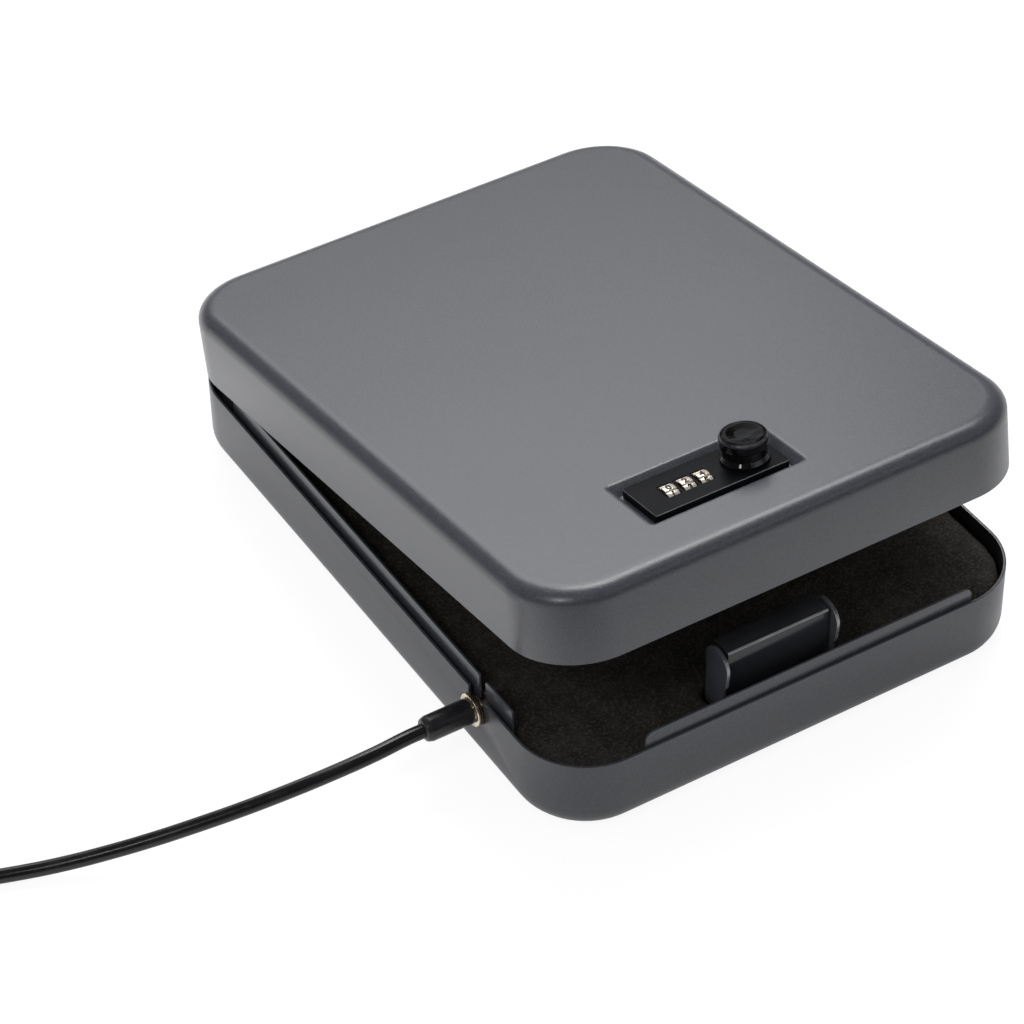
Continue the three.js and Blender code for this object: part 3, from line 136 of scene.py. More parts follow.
# Strike
STRIKE_SHEET = 1.5
STRIKE_LEFT = -31.6
STRIKE_RIGHT = 19.2
STRIKE_TOP = BASE_HEIGHT + 19.5
STRIKE_FRONT = -WALL_Y + 9.65
STRIKE_BACK = STRIKE_FRONT + 9.5
STRIKE_GAP = 1.3
STRIKE_BEND = 1
STRIKE_INNER_BEND = 0.2
STRIKE_SHOULDER = BASE_HEIGHT - 1.5
STRIKE_FOOT = SHEET + CLEARANCE
STRIKE_RIVET_X = -17.2
STRIKE_RIVET_SPACING = 22
CHEEK_BACK = STRIKE_BACK + 0.8
CHEEK_TOP = STRIKE_TOP + 0.5
CHEEK_SHIN = STRIKE_FRONT - 1.5
CHEEK_NECK = STRIKE_FRONT - 3
CHEEK_BROW = STRIKE_FRONT - 4.6
CHEEK_NECK_HEIGHT = STRIKE_TOP - 13.5
CHEEK_SHIN_HEIGHT = STRIKE_TOP - 17

# Lock
LOCK_X = -14.2
LOCK_Y = -WALL_Y + 39.65
RECESS_HALF_X = 33.75
RECESS_HALF_Y = 15.85
RECESS_SINK = 4
RECESS_SLOPE = 3.5
RECESS_ROLL = 2.6
RECESS_CORNER = 3
PLATE_HALF_X = 29.3
PLATE_HALF_Y = 11.75
PLATE_TOP = BOX_HEIGHT - 0.5
PLATE_BOTTOM = BOX_HEIGHT - RECESS_SINK + CLEARANCE
PLATE_SKIN = 1.2
PLATE_EDGE = 0.4
PLATE_CORNER = 0.9
DIAL_RADIUS = 6.5
DIAL_WIDTH = 5
DIAL_PITCH = 7.29
DIAL_MIDDLE = LOCK_X - PLATE_HALF_X + 20.4
DIAL_Z = PLATE_TOP + 1.2 - DIAL_RADIUS
DIAL_DIGITS = 10
DIAL_GAP = 0.35
DIAL_NAMES = ["left_dial", "middle_dial", "right_dial"]
DIGIT_SIZE = 4.1
DIGIT_DEPTH = 0.16
DIGIT_SINK = 0.06
DIGIT_WEIGHT = 0.03
SLOT_HALF_WIDTH = DIAL_WIDTH / 2 + 0.5
WELL_HALF_X = DIAL_PITCH + DIAL_WIDTH / 2 + 0.7
WELL_HALF_Y = DIAL_RADIUS + 0.7
SHAFT_RADIUS = 1.2
SHAFT_HALF_LENGTH = WELL_HALF_X + 2 * SHAFT_RADIUS
SCREW_PLACES = [(LOCK_X - 25, LOCK_Y), (LOCK_X + 24.6, LOCK_Y + 7.6)]
LOCK_BODY_HALF_Y = 11
LID_FOAM_FRONT = LOCK_Y + LOCK_BODY_HALF_Y + 10.5

# Knob
KNOB_X = LOCK_X + PLATE_HALF_X - 12
KNOB_BOTTOM = PLATE_TOP + CLEARANCE
KNOB_TOP = KNOB_BOTTOM + 11
KNOB_CAP_RADIUS = 9.4
KNOB_WAIST_RADIUS = 8.5
KNOB_WAIST_LOW = KNOB_BOTTOM + 2.6
KNOB_WAIST_HIGH = KNOB_WAIST_LOW + 3.4
KNOB_SKIRT_RADIUS = 9.55
KNOB_DISH = 0.75
SPINDLE_RADIUS = 4
SPINDLE_TOP = KNOB_TOP - 5.5

# Cable and its fitting
CABLE_RADIUS = 2.9
CABLE_Y = -WALL_Y + 58.95
CABLE_Z = BASE_HEIGHT - 7.2
NOTCH_HALF_WIDTH = 5.2
WASHER_START = WALL_X + CLEARANCE
WASHER_RING = 0.9
FLANGE_START = WASHER_START + WASHER_RING + CLEARANCE
FLANGE = 1.3
FLANGE_RADIUS = 6.7
SLEEVE_START = FLANGE_START + FLANGE + CLEARANCE
SLEEVE_END = SLEEVE_START + 20
SLEEVE_RADIUS = 5.1
HEAD_RADIUS = 5
HEAD_LENGTH = 2.5
HEAD_END = WALL_X - SIDE_LIP_INSET - LIP_SHEET - CLEARANCE
NECK_RADIUS = 1.75
COLLAR_RADIUS = 4.6
BARREL_RADIUS = 4
BARREL_LENGTH = 15
COIL_CENTRE = Vector((-318, 7, CABLE_RADIUS))
COIL_ENTRY = math.radians(248)
COIL_EXIT = math.radians(180)
COIL_RADIUS = 40.5
COIL_PITCH = 6.6
COIL_LAYER_TURNS = 2
COIL_CLIMB_TURNS = 0.5
COIL_TURNS = 4 + (COIL_ENTRY - COIL_EXIT) / (2 * math.pi)
COIL_STEPS = 24
BUTT = 2 * CABLE_RADIUS
TAIL_LEVEL = 26
TAIL_DROP = 30
TAIL_SAG = 0.4
FERRULE_HALF_HEIGHT = 4
FERRULE_HALF_WIDTH = 7.4
FERRULE_LENGTH = 18
EYE_LENGTH = 42
EYE_HALF_WIDTH = 13

# Floor
FLOOR_HALF = 4000

# Smoothness
CORNER_STEPS = 16
FILLET_STEPS = 8
ARC_STEPS = 5
ROUND_STEPS = 64
SMALL_ROUND_STEPS = 32
KNOB_STEPS = 96
SUPPORT = 0.5
SHARP = math.radians(38)


# Camera and light

def linked(name, data):
    """A new object in the scene, at the origin."""
    thing = bpy.data.objects.new(name, data)
    bpy.context.scene.collection.objects.link(thing)
    return thing


def photograph_camera():
    right = Vector((math.cos(CAMERA_AZIMUTH), math.sin(CAMERA_AZIMUTH), 0))
    back = Vector((
        math.sin(CAMERA_AZIMUTH) * math.cos(CAMERA_ELEVATION),
        -math.cos(CAMERA_AZIMUTH) * math.cos(CAMERA_ELEVATION),
        math.sin(CAMERA_ELEVATION),
    ))
    up = back.cross(right)
    rolled_right = right * math.cos(CAMERA_ROLL) + up * math.sin(CAMERA_ROLL)
    rolled_up = up * math.cos(CAMERA_ROLL) - right * math.sin(CAMERA_ROLL)
    axes = Matrix((rolled_right, rolled_up, back)).transposed().to_4x4()
    lens = bpy.data.cameras.new("photograph_camera")
    lens.lens = CAMERA_LENS
    lens.sensor_width = SENSOR_WIDTH
    lens.clip_start = 0.01
    camera = linked("photograph_camera", lens)
    camera.matrix_world = Matrix.Translation(CAMERA_PLACE) @ axes
    bpy.context.scene.camera = camera


def softbox(name, place, width, height, brightness):
    """An area light that faces the object. Its brightness is a share of white, its sizes metres."""
    light = bpy.data.lights.new(name, "AREA")
    light.shape = "RECTANGLE"
    light.size = width
    light.size_y = height
    light.energy = brightness * math.pi * width * height
    lamp = linked(name, light)
    lamp.rotation_euler = Vector(place).to_track_quat("Z", "Y").to_euler()
    lamp.location = place
    lamp.visible_camera = False


def studio_light():
    softbox("softbox_over", (0.42, 0.5, 1.35), width=0.85, height=0.45, brightness=8.5)
    softbox("softbox_back", (0.42, 1.29, 1.02), width=1.0, height=0.8, brightness=2.55)
    softbox("lamp_left", (-0.83, -0.47, 0.99), width=0.22, height=0.22, brightness=12.8)
    softbox("lamp_front", (0.55, -0.95, 0.92), width=0.4, height=0.03, brightness=5)


# Materials

class Value:
    """An output socket that takes part in plain sums."""

    def __init__(self, finish, socket):
        self.finish = finish
        self.socket = socket

    def maths(self, operation, first, second):
        return self.finish.add("ShaderNodeMath", {"operation": operation}, {0: first, 1: second})

    def __add__(self, other):
        return self.maths("ADD", self, other)

    def __radd__(self, other):
        return self.maths("ADD", other, self)

    def __sub__(self, other):
        return self.maths("SUBTRACT", self, other)

    def __rsub__(self, other):
        return self.maths("SUBTRACT", other, self)

    def __mul__(self, other):
        return self.maths("MULTIPLY", self, other)

    def __rmul__(self, other):
        return self.maths("MULTIPLY", other, self)

    def __rtruediv__(self, other):
        return self.maths("DIVIDE", other, self)

    def at_least(self, other):
        return self.maths("MAXIMUM", self, other)


class Tree:
    """A node tree, and the one method that adds a node to it. Colours have three numbers."""

    def __init__(self, tree):
        self.tree = tree

    def feed(self, socket, value):
        if isinstance(value, Value):
            self.tree.links.new(value.socket, socket)
        elif socket.type == "RGBA":
            socket.default_value = (*value, 1)
        else:
            socket.default_value = value

    def add(self, kind, settings=None, sockets=None, output=0):
        """Makes a node, first its settings and then its sockets, and returns one of its outputs."""
        node = self.tree.nodes.new(kind)
        for key, value in (settings or {}).items():
            if key == "stops":
                self.set_stops(node.color_ramp, value)
            else:
                setattr(node, key, value)
        for key, value in (sockets or {}).items():
            self.feed(node.inputs[key], value)
        if not node.outputs:
            return None
        return Value(self, node.outputs[output])

    def set_stops(self, ramp, stops):
        while len(ramp.elements) < len(stops):
            ramp.elements.new(1)
        for element, (position, colour) in zip(ramp.elements, stops):
            element.position = position
            element.color = (*colour, 1)


class Finish(Tree):
    """A surface finish. Patterns run in the piece's own space, in metres."""

    def __init__(self, name, **constants):
        self.material = bpy.data.materials.new(name)
        self.material.use_nodes = True
        super().__init__(self.material.node_tree)
        self.shader = self.tree.nodes["Principled BSDF"]
        self.place = self.add("ShaderNodeTexCoord", output="Object")
        for key, value in constants.items():
            self.shader.inputs[key.replace("_", " ")].default_value = value

    def set(self, socket, value):
        self.feed(self.shader.inputs[socket], value)

    def noise(self, size, detail, vector=None):
        """Cloudy noise from about 0.3 to 0.7, with patches of a size in millimetres."""
        sockets = {"Vector": vector or self.place, "Scale": 1 / (size * MM), "Detail": detail}
        return self.add("ShaderNodeTexNoise", None, sockets, "Fac")

    def cells(self, size):
        """The distance to the middle of the nearest cell, with cells of a size in millimetres."""
        sockets = {"Vector": self.place, "Scale": 1 / (size * MM)}
        return self.add("ShaderNodeTexVoronoi", None, sockets, "Distance")

    def stretched(self, x, y, z):
        """The piece's own space, scaled along each axis."""
        return self.add("ShaderNodeMapping", None, {"Vector": self.place, "Scale": (x, y, z)})

    def steps(self, value, low, high):
        """0 below low, 1 above high and a straight slope between."""
        sockets = {"Value": value, "From Min": low, "From Max": high}
        return self.add("ShaderNodeMapRange", None, sockets)

    def mix(self, share, first, second):
        """A colour between two. The numbers are those of the Mix node's colour sockets."""
        sockets = {0: share, 6: first, 7: second}
        return self.add("ShaderNodeMix", {"data_type": "RGBA"}, sockets, 2)

    def bump(self, height, depth):
        """Raises the surface by up to the given depth in millimetres."""
        sockets = {"Height": height, "Distance": depth * MM, "Strength": 1.0}
        self.set("Normal", self.add("ShaderNodeBump", None, sockets))


def grey(level):
    return (level, level, level)


def patchy(name, colours, patch, detail, reach, roughness=None, grain=None, **constants):
    """A finish in soft patches, from one colour and roughness to another.

    A patch is a size in millimetres, and the reach is the noise at which the second colour
    starts and where it is full. A grain is its size and depth in millimetres and its detail.
    """
    finish = Finish(name, **constants)
    patches = finish.steps(finish.noise(patch, detail), *reach)
    finish.set("Base Color", finish.mix(patches, *colours))
    if roughness:
        finish.set("Roughness", roughness[0] + (roughness[1] - roughness[0]) * patches)
    if grain:
        size, depth, fineness = grain
        finish.bump(finish.noise(size, fineness), depth)
    return finish.material


def powder_coat():
    """Fine-textured grey powder coat: soft orange peel, a mica speckle and faint clouds."""
    finish = Finish("grey_powder_coat", Specular_IOR_Level=0.8)
    clouds = finish.steps(finish.noise(70, 2), 0.35, 0.65)
    grain = finish.noise(0.45, 2)
    pits = finish.steps(grain, 0.6, 0.75)
    speckle = finish.steps(finish.noise(0.8, 1), 0.35, 0.68)
    paint = finish.mix(clouds, (0.050, 0.053, 0.065), (0.055, 0.058, 0.071))
    fleck = finish.mix(speckle * 0.8, paint, (0.082, 0.087, 0.104))
    finish.set("Base Color", finish.mix(pits * 0.8, fleck, (0.03, 0.031, 0.036)))
    finish.set("Roughness", 0.3 + 0.08 * speckle)
    finish.bump(finish.noise(1.4, 2) * 0.7 + grain * 0.3, 0.05)
    return finish.material


def open_cell_foam():
    """Brown-black foam with dark cells and paler walls between them."""
    finish = Finish("black_open_cell_foam", Roughness=0.95, Specular_IOR_Level=0.15)
    cells = finish.cells(1.1)
    pores = finish.noise(1.0, 3)
    clouds = finish.steps(finish.noise(9, 3), 0.3, 0.7)
    dark = finish.mix(clouds, (0.022, 0.0205, 0.0195), (0.043, 0.0395, 0.037))
    lit = finish.steps(pores, 0.47, 0.66) * 0.6
    finish.set("Base Color", finish.mix(lit, dark, (0.095, 0.085, 0.07)))
    finish.bump(cells * 0.6 + pores * 0.8, 0.5)
    return finish.material


def black_coat(name, level):
    """Satin black coat on bent steel, paler at a higher level."""
    low = (0.95 * level, level, 1.2 * level)
    high = (1.22 * level, 1.27 * level, 1.52 * level)
    return patchy(
        name, (low, high), patch=14, detail=2, reach=(0.35, 0.65),
        roughness=(0.1, 0.18), grain=(0.5, 0.005, 2), Specular_IOR_Level=0.5,
    )


def inside_coat():
    """A dark colour painted over the inside of the lower tray as shade."""
    return patchy(
        "inside_coat", ((0.010, 0.0105, 0.012), (0.017, 0.018, 0.021)),
        patch=18, detail=3, reach=(0.35, 0.65), roughness=(0.45, 0.57), Specular_IOR_Level=0.25,
    )


def rubbed_edge(name, level):
    """A painted highlight along an edge: black coat made paler, with a soft metallic shine,
    brighter at a higher level.
    """
    low = (0.92 * level, 0.95 * level, level)
    high = (1.42 * level, 1.46 * level, 1.5 * level)
    return patchy(
        name, (low, high), patch=5, detail=3, reach=(0.3, 0.7),
        roughness=(0.26, 0.38), Metallic=0.35,
    )


def plate_black():
    """Black anodised faceplate with a very fine satin grain along its length."""
    finish = Finish("faceplate_black", Specular_IOR_Level=0.06)
    grain = finish.noise(0.5, 3, finish.stretched(0.12, 1, 1))
    soft_patches = finish.steps(finish.noise(11, 2), 0.35, 0.65)
    finish.set("Base Color", finish.mix(soft_patches, (0.004, 0.0045, 0.006), (0.0065, 0.007, 0.0095)))
    finish.set("Roughness", 0.3 + 0.14 * grain)
    finish.bump(grain, 0.01)
    return finish.material


def knob_face():
    """The nearly dull face of the knob, with soft pale patches painted on as reflections."""
    finish = Finish("knob_face_black", Specular_IOR_Level=0.04)
    soft_patches = finish.steps(finish.noise(4.2, 1, finish.stretched(0.6, 1.3, 1)), 0.5, 0.7)
    finish.set("Base Color", finish.mix(soft_patches, (0.002, 0.002, 0.0025), (0.03, 0.031, 0.033)))
    finish.set("Roughness", 0.2 + 0.2 * soft_patches)
    finish.bump(finish.noise(2.6, 2), 0.05)
    return finish.material


def knob_rim():
    """The knob's rounded edge and the front of its skirt, dulled and made paler as a painted
    highlight.
    """
    return patchy(
        "knob_rim_black", ((0.02, 0.0205, 0.022), (0.085, 0.087, 0.092)),
        patch=3.5, detail=2, reach=(0.35, 0.7), roughness=(0.22, 0.38), Specular_IOR_Level=0.4,
    )


def knob_gloss():
    """Polished black moulding, slightly marked by handling."""
    return patchy(
        "knob_gloss_black", ((0.004, 0.004, 0.0045), (0.009, 0.009, 0.0095)),
        patch=3.2, detail=3, reach=(0.42, 0.7), roughness=(0.05, 0.25), grain=(1.8, 0.03, 2),
        Specular_IOR_Level=0.4,
    )


def dial_nickel():
    """Plated number wheels with a warm tint."""
    return patchy(
        "dial_nickel", ((0.80, 0.74, 0.66), (0.60, 0.52, 0.43)),
        patch=1.6, detail=3, reach=(0.38, 0.7), roughness=(0.24, 0.44), grain=(0.6, 0.01, 2),
        Metallic=0.55,
    )


def dial_grime():
    """The dull side of a number wheel, given a brown-black colour as painted shade."""
    return patchy(
        "dial_side", ((0.018, 0.013, 0.010), (0.12, 0.085, 0.055)),
        patch=1.2, detail=3, reach=(0.42, 0.75), Roughness=0.55, Metallic=0.3,
    )


def digit_ink():
    """Ink worn to brown in places."""
    return patchy(
        "digit_ink", ((0.012, 0.010, 0.009), (0.05, 0.042, 0.035)),
        patch=0.5, detail=2, reach=(0.4, 0.75), Roughness=0.6,
    )


def zinc_plate():
    """Bright zinc with a fine grain and a little dullness."""
    return patchy(
        "zinc_plated_steel", ((0.50, 0.51, 0.53), (0.44, 0.445, 0.46)),
        patch=6, detail=3, reach=(0.35, 0.7), roughness=(0.34, 0.42), grain=(0.4, 0.012, 2),
        Metallic=1.0,
    )


def turned_brass():
    """Turned brass, paler where hands have worn it."""
    return patchy(
        "turned_brass", ((0.90, 0.80, 0.66), (0.55, 0.40, 0.26)),
        patch=2.2, detail=3, reach=(0.4, 0.72), roughness=(0.2, 0.4), grain=(0.4, 0.01, 2),
        Metallic=1.0,
    )


def dark_brass():
    """The brown, tarnished brass of the washer."""
    return patchy(
        "tarnished_brass", ((0.13, 0.085, 0.05), (0.035, 0.022, 0.014)),
        patch=1.5, detail=3, reach=(0.35, 0.7), roughness=(0.36, 0.56), Metallic=0.9,
    )


def black_vinyl():
    """Glossy extruded vinyl skin with a soft waviness from the strands under it."""
    return patchy(
        "black_vinyl", ((0.010, 0.010, 0.0115), (0.016, 0.016, 0.018)),
        patch=7, detail=3, reach=(0.45, 0.75), roughness=(0.19, 0.33), grain=(4.5, 0.03, 1),
        Specular_IOR_Level=0.4,
    )


def sleeve_vinyl():
    """The thicker, more satin vinyl of the sleeve."""
    return patchy(
        "sleeve_vinyl", ((0.016, 0.016, 0.018), (0.026, 0.026, 0.029)),
        patch=6, detail=2, reach=(0.4, 0.7), roughness=(0.24, 0.38), grain=(4.5, 0.02, 1),
        Specular_IOR_Level=0.5,
    )


def pressed_aluminium():
    """The dull grey metal of the ferrule."""
    return patchy(
        "pressed_aluminium", ((0.62, 0.62, 0.63), (0.45, 0.45, 0.46)),
        patch=2.5, detail=3, reach=(0.35, 0.7), roughness=(0.34, 0.54), grain=(0.6, 0.03, 2),
        Metallic=1.0,
    )


# World and floor

def by_ray(tree, plain, mirrored, seen):
    """Three shaders in one: what lights the safe, what its gloss shows and what the camera sees."""
    path = tree.tree.nodes.new("ShaderNodeLightPath")
    camera = Value(tree, path.outputs["Is Camera Ray"])
    glossy = Value(tree, path.outputs["Is Glossy Ray"])
    through = Value(tree, path.outputs["Is Transmission Ray"])
    mirror = glossy.at_least(through)
    unseen = tree.add("ShaderNodeMixShader", None, {0: mirror, 1: plain, 2: mirrored})
    return tree.add("ShaderNodeMixShader", None, {0: camera, 1: unseen, 2: seen})


def background(tree, colour, strength):
    return tree.add("ShaderNodeBackground", None, {"Color": colour, "Strength": strength})


def studio_world():
    """A grey room that looks white, and in gloss pale at the floor and dark overhead."""
    world = bpy.data.worlds.new("studio")
    world.use_nodes = True
    bpy.context.scene.world = world
    tree = Tree(world.node_tree)
    tree.tree.nodes.clear()
    direction = tree.add("ShaderNodeTexCoord", None, None, "Generated")
    height = tree.add("ShaderNodeSeparateXYZ", None, {"Vector": direction}, "Z")
    stops = [(0.0, grey(0.5)), (0.02, grey(0.5)), (0.12, grey(0.07)), (1.0, grey(0.07))]
    sweep = tree.add("ShaderNodeValToRGB", {"stops": stops}, {"Fac": height})
    room = background(tree, grey(1.0), 0.42)
    mirrored = background(tree, sweep, 1.0)
    white = background(tree, grey(1.0), 1.0)
    tree.add("ShaderNodeOutputWorld", None, {"Surface": by_ray(tree, room, mirrored, white)})


def lifted_paper(tree, paper, glow):
    """Paper that takes shadows but is also bright by itself."""
    shade = tree.add("ShaderNodeBsdfDiffuse", None, {"Color": paper})
    lift = tree.add("ShaderNodeEmission", None, {"Color": glow, "Strength": 1.0})
    return tree.add("ShaderNodeAddShader", None, {0: shade, 1: lift})


def distance_ramp(tree, place, centre, stops):
    """A grey that follows the distance from a centre, in metres."""
    away = tree.add(
        "ShaderNodeVectorMath", {"operation": "DISTANCE"}, {0: place, 1: centre}, "Value",
    )
    return tree.add("ShaderNodeValToRGB", {"stops": stops}, {"Fac": away})


def pale_floor():
    """White paper that keeps a soft shadow. In gloss it has a painted pool of light that fades away
    from the safe, and painted shade on the paper towards the front left.
    """
    material = bpy.data.materials.new("pale_floor")
    material.use_nodes = True
    tree = Tree(material.node_tree)
    tree.tree.nodes.clear()
    place = tree.add("ShaderNodeTexCoord", output="Object")
    fade = [(0.0, grey(0.44)), (0.32, grey(0.44)), (0.6, grey(0.12)), (1.0, grey(0.12))]
    bright_spot = (-0.3, 0.2, 0)
    glow = distance_ramp(tree, place, bright_spot, fade)
    clear = [(0.0, grey(0.2)), (0.08, grey(0.2)), (0.36, grey(0.92)), (1.0, grey(0.92))]
    painted_shade_spot = (-0.3, -0.4, 0)
    shaded_paper = distance_ramp(tree, place, painted_shade_spot, clear)
    paper = tree.add("ShaderNodeBsdfDiffuse", None, {"Color": grey(0.3)})
    mirrored = lifted_paper(tree, shaded_paper, glow)
    white = lifted_paper(tree, grey(0.2), grey(0.9))
    tree.add("ShaderNodeOutputMaterial", None, {"Surface": by_ray(tree, paper, mirrored, white)})
    half = FLOOR_HALF
    corners = [(-half, -half, 0), (half, -half, 0), (half, half, 0), (-half, half, 0)]
    mesh_object("floor", (corners, [(0, 1, 2, 3)]), material)


# Shapes. A shape is a pair of a vertex list in millimetres and a face list.

def ring(half_x, half_y, radius, z, centre=(0, 0)):
    """A rounded rectangle at height z, counterclockwise from its front left corner."""
    points = []
    for corner, (side_x, side_y) in enumerate([(-1, -1), (1, -1), (1, 1), (-1, 1)]):
        for step in range(CORNER_STEPS + 1):
            angle = math.pi + (corner + step / CORNER_STEPS) * math.pi / 2
            x = centre[0] + side_x * (half_x - radius) + radius * math.cos(angle)
            y = centre[1] + side_y * (half_y - radius) + radius * math.sin(angle)
            points.append((x, y, z))
    return points


def loft(rings, closed=False):
    """Skins a row of rings. It is capped at both ends, or its last ring meets its first."""
    count = len(rings[0])
    points = [point for level in rings for point in level]
    faces = []
    pairs = len(rings) if closed else len(rings) - 1
    for level in range(pairs):
        low = level * count
        high = ((level + 1) % len(rings)) * count
        for i in range(count):
            j = (i + 1) % count
            faces.append((low + i, low + j, high + j, high + i))
    if not closed:
        faces.append(tuple(reversed(range(count))))
        faces.append(tuple(range(len(points) - count, len(points))))
    return points, faces


def wall_rings(half_x, half_y, corner, fillet, floor, rim, spread=1):
    """The rings of a dish's face, from its flat round the fillet and along the wall to its rim.

    The spread makes the fillet wider than it is high.
    """
    way = math.copysign(1, rim - floor)
    inner = spread * fillet + SUPPORT
    rings = [ring(half_x - inner, half_y - inner, corner - inner, floor)]
    for step in range(FILLET_STEPS + 1):
        angle = step / FILLET_STEPS * math.pi / 2
        inset = spread * fillet * (1 - math.sin(angle))
        rise = fillet * (1 - math.cos(angle))
        rings.append(ring(half_x - inset, half_y - inset, corner - inset, floor + way * rise))
    rings.append(ring(half_x, half_y, corner, floor + way * (fillet + SUPPORT)))
    rings.append(ring(half_x, half_y, corner, rim))
    return rings


def rounded(corners, closed=False, steps=ARC_STEPS):
    """A flat path through corners (x, y), where a third number rounds the corner by that radius."""
    path = []
    for i, corner in enumerate(corners):
        here = Vector(corner[:2])
        at_end = not closed and i in (0, len(corners) - 1)
        if len(corner) < 3 or at_end:
            path.append(tuple(here))
            continue
        before = (Vector(corners[i - 1][:2]) - here).normalized()
        after = (Vector(corners[(i + 1) % len(corners)][:2]) - here).normalized()
        half = before.angle(after) / 2
        centre = here + (before + after).normalized() * (corner[2] / math.sin(half))
        reach = corner[2] / math.tan(half)
        start = here + before * reach - centre
        end = here + after * reach - centre
        first = math.atan2(start.y, start.x)
        swing = math.atan2(end.y, end.x) - first
        swing = (swing + math.pi) % (2 * math.pi) - math.pi
        for step in range(steps + 1):
            angle = first + swing * step / steps
            spot = centre + corner[2] * Vector((math.cos(angle), math.sin(angle)))
            path.append(tuple(spot))
    return path


def prism(outline, axis, start, end):
    """An outline pushed along an axis. Across x it is drawn in (y, z), and across y in (x, z)."""
    place = {
        "x": lambda u, v, along: (along, u, v),
        "y": lambda u, v, along: (u, along, v),
        "z": lambda u, v, along: (u, v, along),
    }[axis]
    rings = [[place(u, v, along) for u, v in outline] for along in (start, end)]
    return loft(rings)


def block(x0, x1, y0, y1, z0, z1):
    """A plain box between two places along each axis."""
    return prism([(x0, y0), (x1, y0), (x1, y1), (x0, y1)], "z", z0, z1)


def turned(profile, axis, centre, closed=False, steps=ROUND_STEPS):
    """A turned shape from (radius, distance along the axis) pairs. A radius of 0 makes a pole."""
    place = {
        "x": lambda along, u, v: (along, centre[1] + u, centre[2] + v),
        "y": lambda along, u, v: (centre[0] + v, along, centre[2] + u),
        "z": lambda along, u, v: (centre[0] + u, centre[1] + v, along),
    }[axis]
    points = []
    levels = []
    for radius, along in profile:
        first = len(points)
        if radius == 0:
            points.append(place(along, 0, 0))
            levels.append([first] * steps)
            continue
        for i in range(steps):
            angle = 2 * math.pi * i / steps
            points.append(place(along, radius * math.cos(angle), radius * math.sin(angle)))
        levels.append(list(range(first, first + steps)))
    if closed:
        levels.append(levels[0])
    faces = []
    for low, high in zip(levels, levels[1:]):
        for i in range(steps):
            j = (i + 1) % steps
            face = list(dict.fromkeys((low[i], low[j], high[j], high[i])))
            if len(face) > 2:
                faces.append(tuple(face))
    return points, faces


def bar(axis, centre, radius, start, end, steps=SMALL_ROUND_STEPS):
    """A plain round bar along an axis, to drill with."""
    profile = [(0, start), (radius, start), (radius, end), (0, end)]
    return turned(profile, axis, centre, steps=steps)


def merged(*shapes):
    """Several shapes as one."""
    points = []
    faces = []
    for shape_points, shape_faces in shapes:
        first = len(points)
        points += shape_points
        faces += [tuple(first + i for i in face) for face in shape_faces]
    return points, faces


# Making pieces

def mesh_object(name, shape, material):
    """A shape in millimetres as an object in metres, with its faces pointing outwards."""
    points, faces = shape
    mesh = bpy.data.meshes.new(name)
    mesh.from_pydata([[MM * value for value in point] for point in points], [], faces)
    mesh.validate()
    shell = bmesh.new()
    shell.from_mesh(mesh)
    bmesh.ops.recalc_face_normals(shell, faces=shell.faces)
    shell.to_mesh(mesh)
    shell.free()
    mesh.materials.append(material)
    return linked(name, mesh)


def baked(thing):
    """A new mesh of what a thing looks like with its modifiers or its text worked out."""
    bpy.context.view_layer.update()
    graph = bpy.context.evaluated_depsgraph_get()
    return bpy.data.meshes.new_from_object(thing.evaluated_get(graph))


def settled(thing):
    """Bakes a thing's modifiers into its mesh."""
    mesh = baked(thing)
    thing.modifiers.clear()
    thing.data = mesh
    return thing


def cut(thing, *shapes):
    """Takes the shapes out of a thing."""
    cutter = mesh_object("cutter", merged(*shapes), thing.data.materials[0])
    boolean = thing.modifiers.new("cut", "BOOLEAN")
    boolean.operation = "DIFFERENCE"
    boolean.solver = "EXACT"
    boolean.use_self = True
    boolean.object = cutter
    settled(thing)
    bpy.data.objects.remove(cutter)
    return thing


def eased(thing, width, angle=50, segments=2):
    """Rounds a thing's sharp edges by a few tenths, as paint and tumbling do."""
    bevel = thing.modifiers.new("edges", "BEVEL")
    bevel.width = width * MM
    bevel.segments = segments
    bevel.limit_method = "ANGLE"
    bevel.angle_limit = math.radians(angle)
    bevel.use_clamp_overlap = True
    return settled(thing)


def smooth(thing, sharp=SHARP):
    """Shades a thing smoothly, but for the edges that are sharper than an angle."""
    for face in thing.data.polygons:
        face.use_smooth = True
    thing.data.set_sharp_from_angle(angle=sharp)
    return thing


def refinished(thing, finish, chosen):
    """Gives another finish to the faces that a test on their middle (mm) and normal chooses."""
    thing.data.materials.append(finish)
    for face in thing.data.polygons:
        if chosen(face.center / MM, face.normal):
            face.material_index = len(thing.data.materials) - 1
    return thing


def fitted(thing, body, nodes):
    """Puts a finished piece on its body, in the place of the solids that it stands for.

    All bodies but the base are on the lid, so their pieces are turned up with it.
    """
    if body != "base":
        thing.data.transform(LID_TURN)
    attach(thing, body)
    if nodes:
        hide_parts(*nodes)
    return thing


# Geometry trees

def geometry_tree(name, sizes):
    """A tree with a mesh, named sizes and a finish as inputs, and the values of its inputs."""
    tree = bpy.data.node_groups.new(name, "GeometryNodeTree")
    kinds = {"Geometry": "Geometry", **sizes, "Finish": "Material"}
    for label, kind in kinds.items():
        tree.interface.new_socket(label, in_out="INPUT", socket_type="NodeSocket" + kind)
    tree.interface.new_socket("Geometry", in_out="OUTPUT", socket_type="NodeSocketGeometry")
    maker = Tree(tree)
    inputs = tree.nodes.new("NodeGroupInput")
    given = {socket.name: Value(maker, socket) for socket in inputs.outputs if socket.name}
    return maker, given


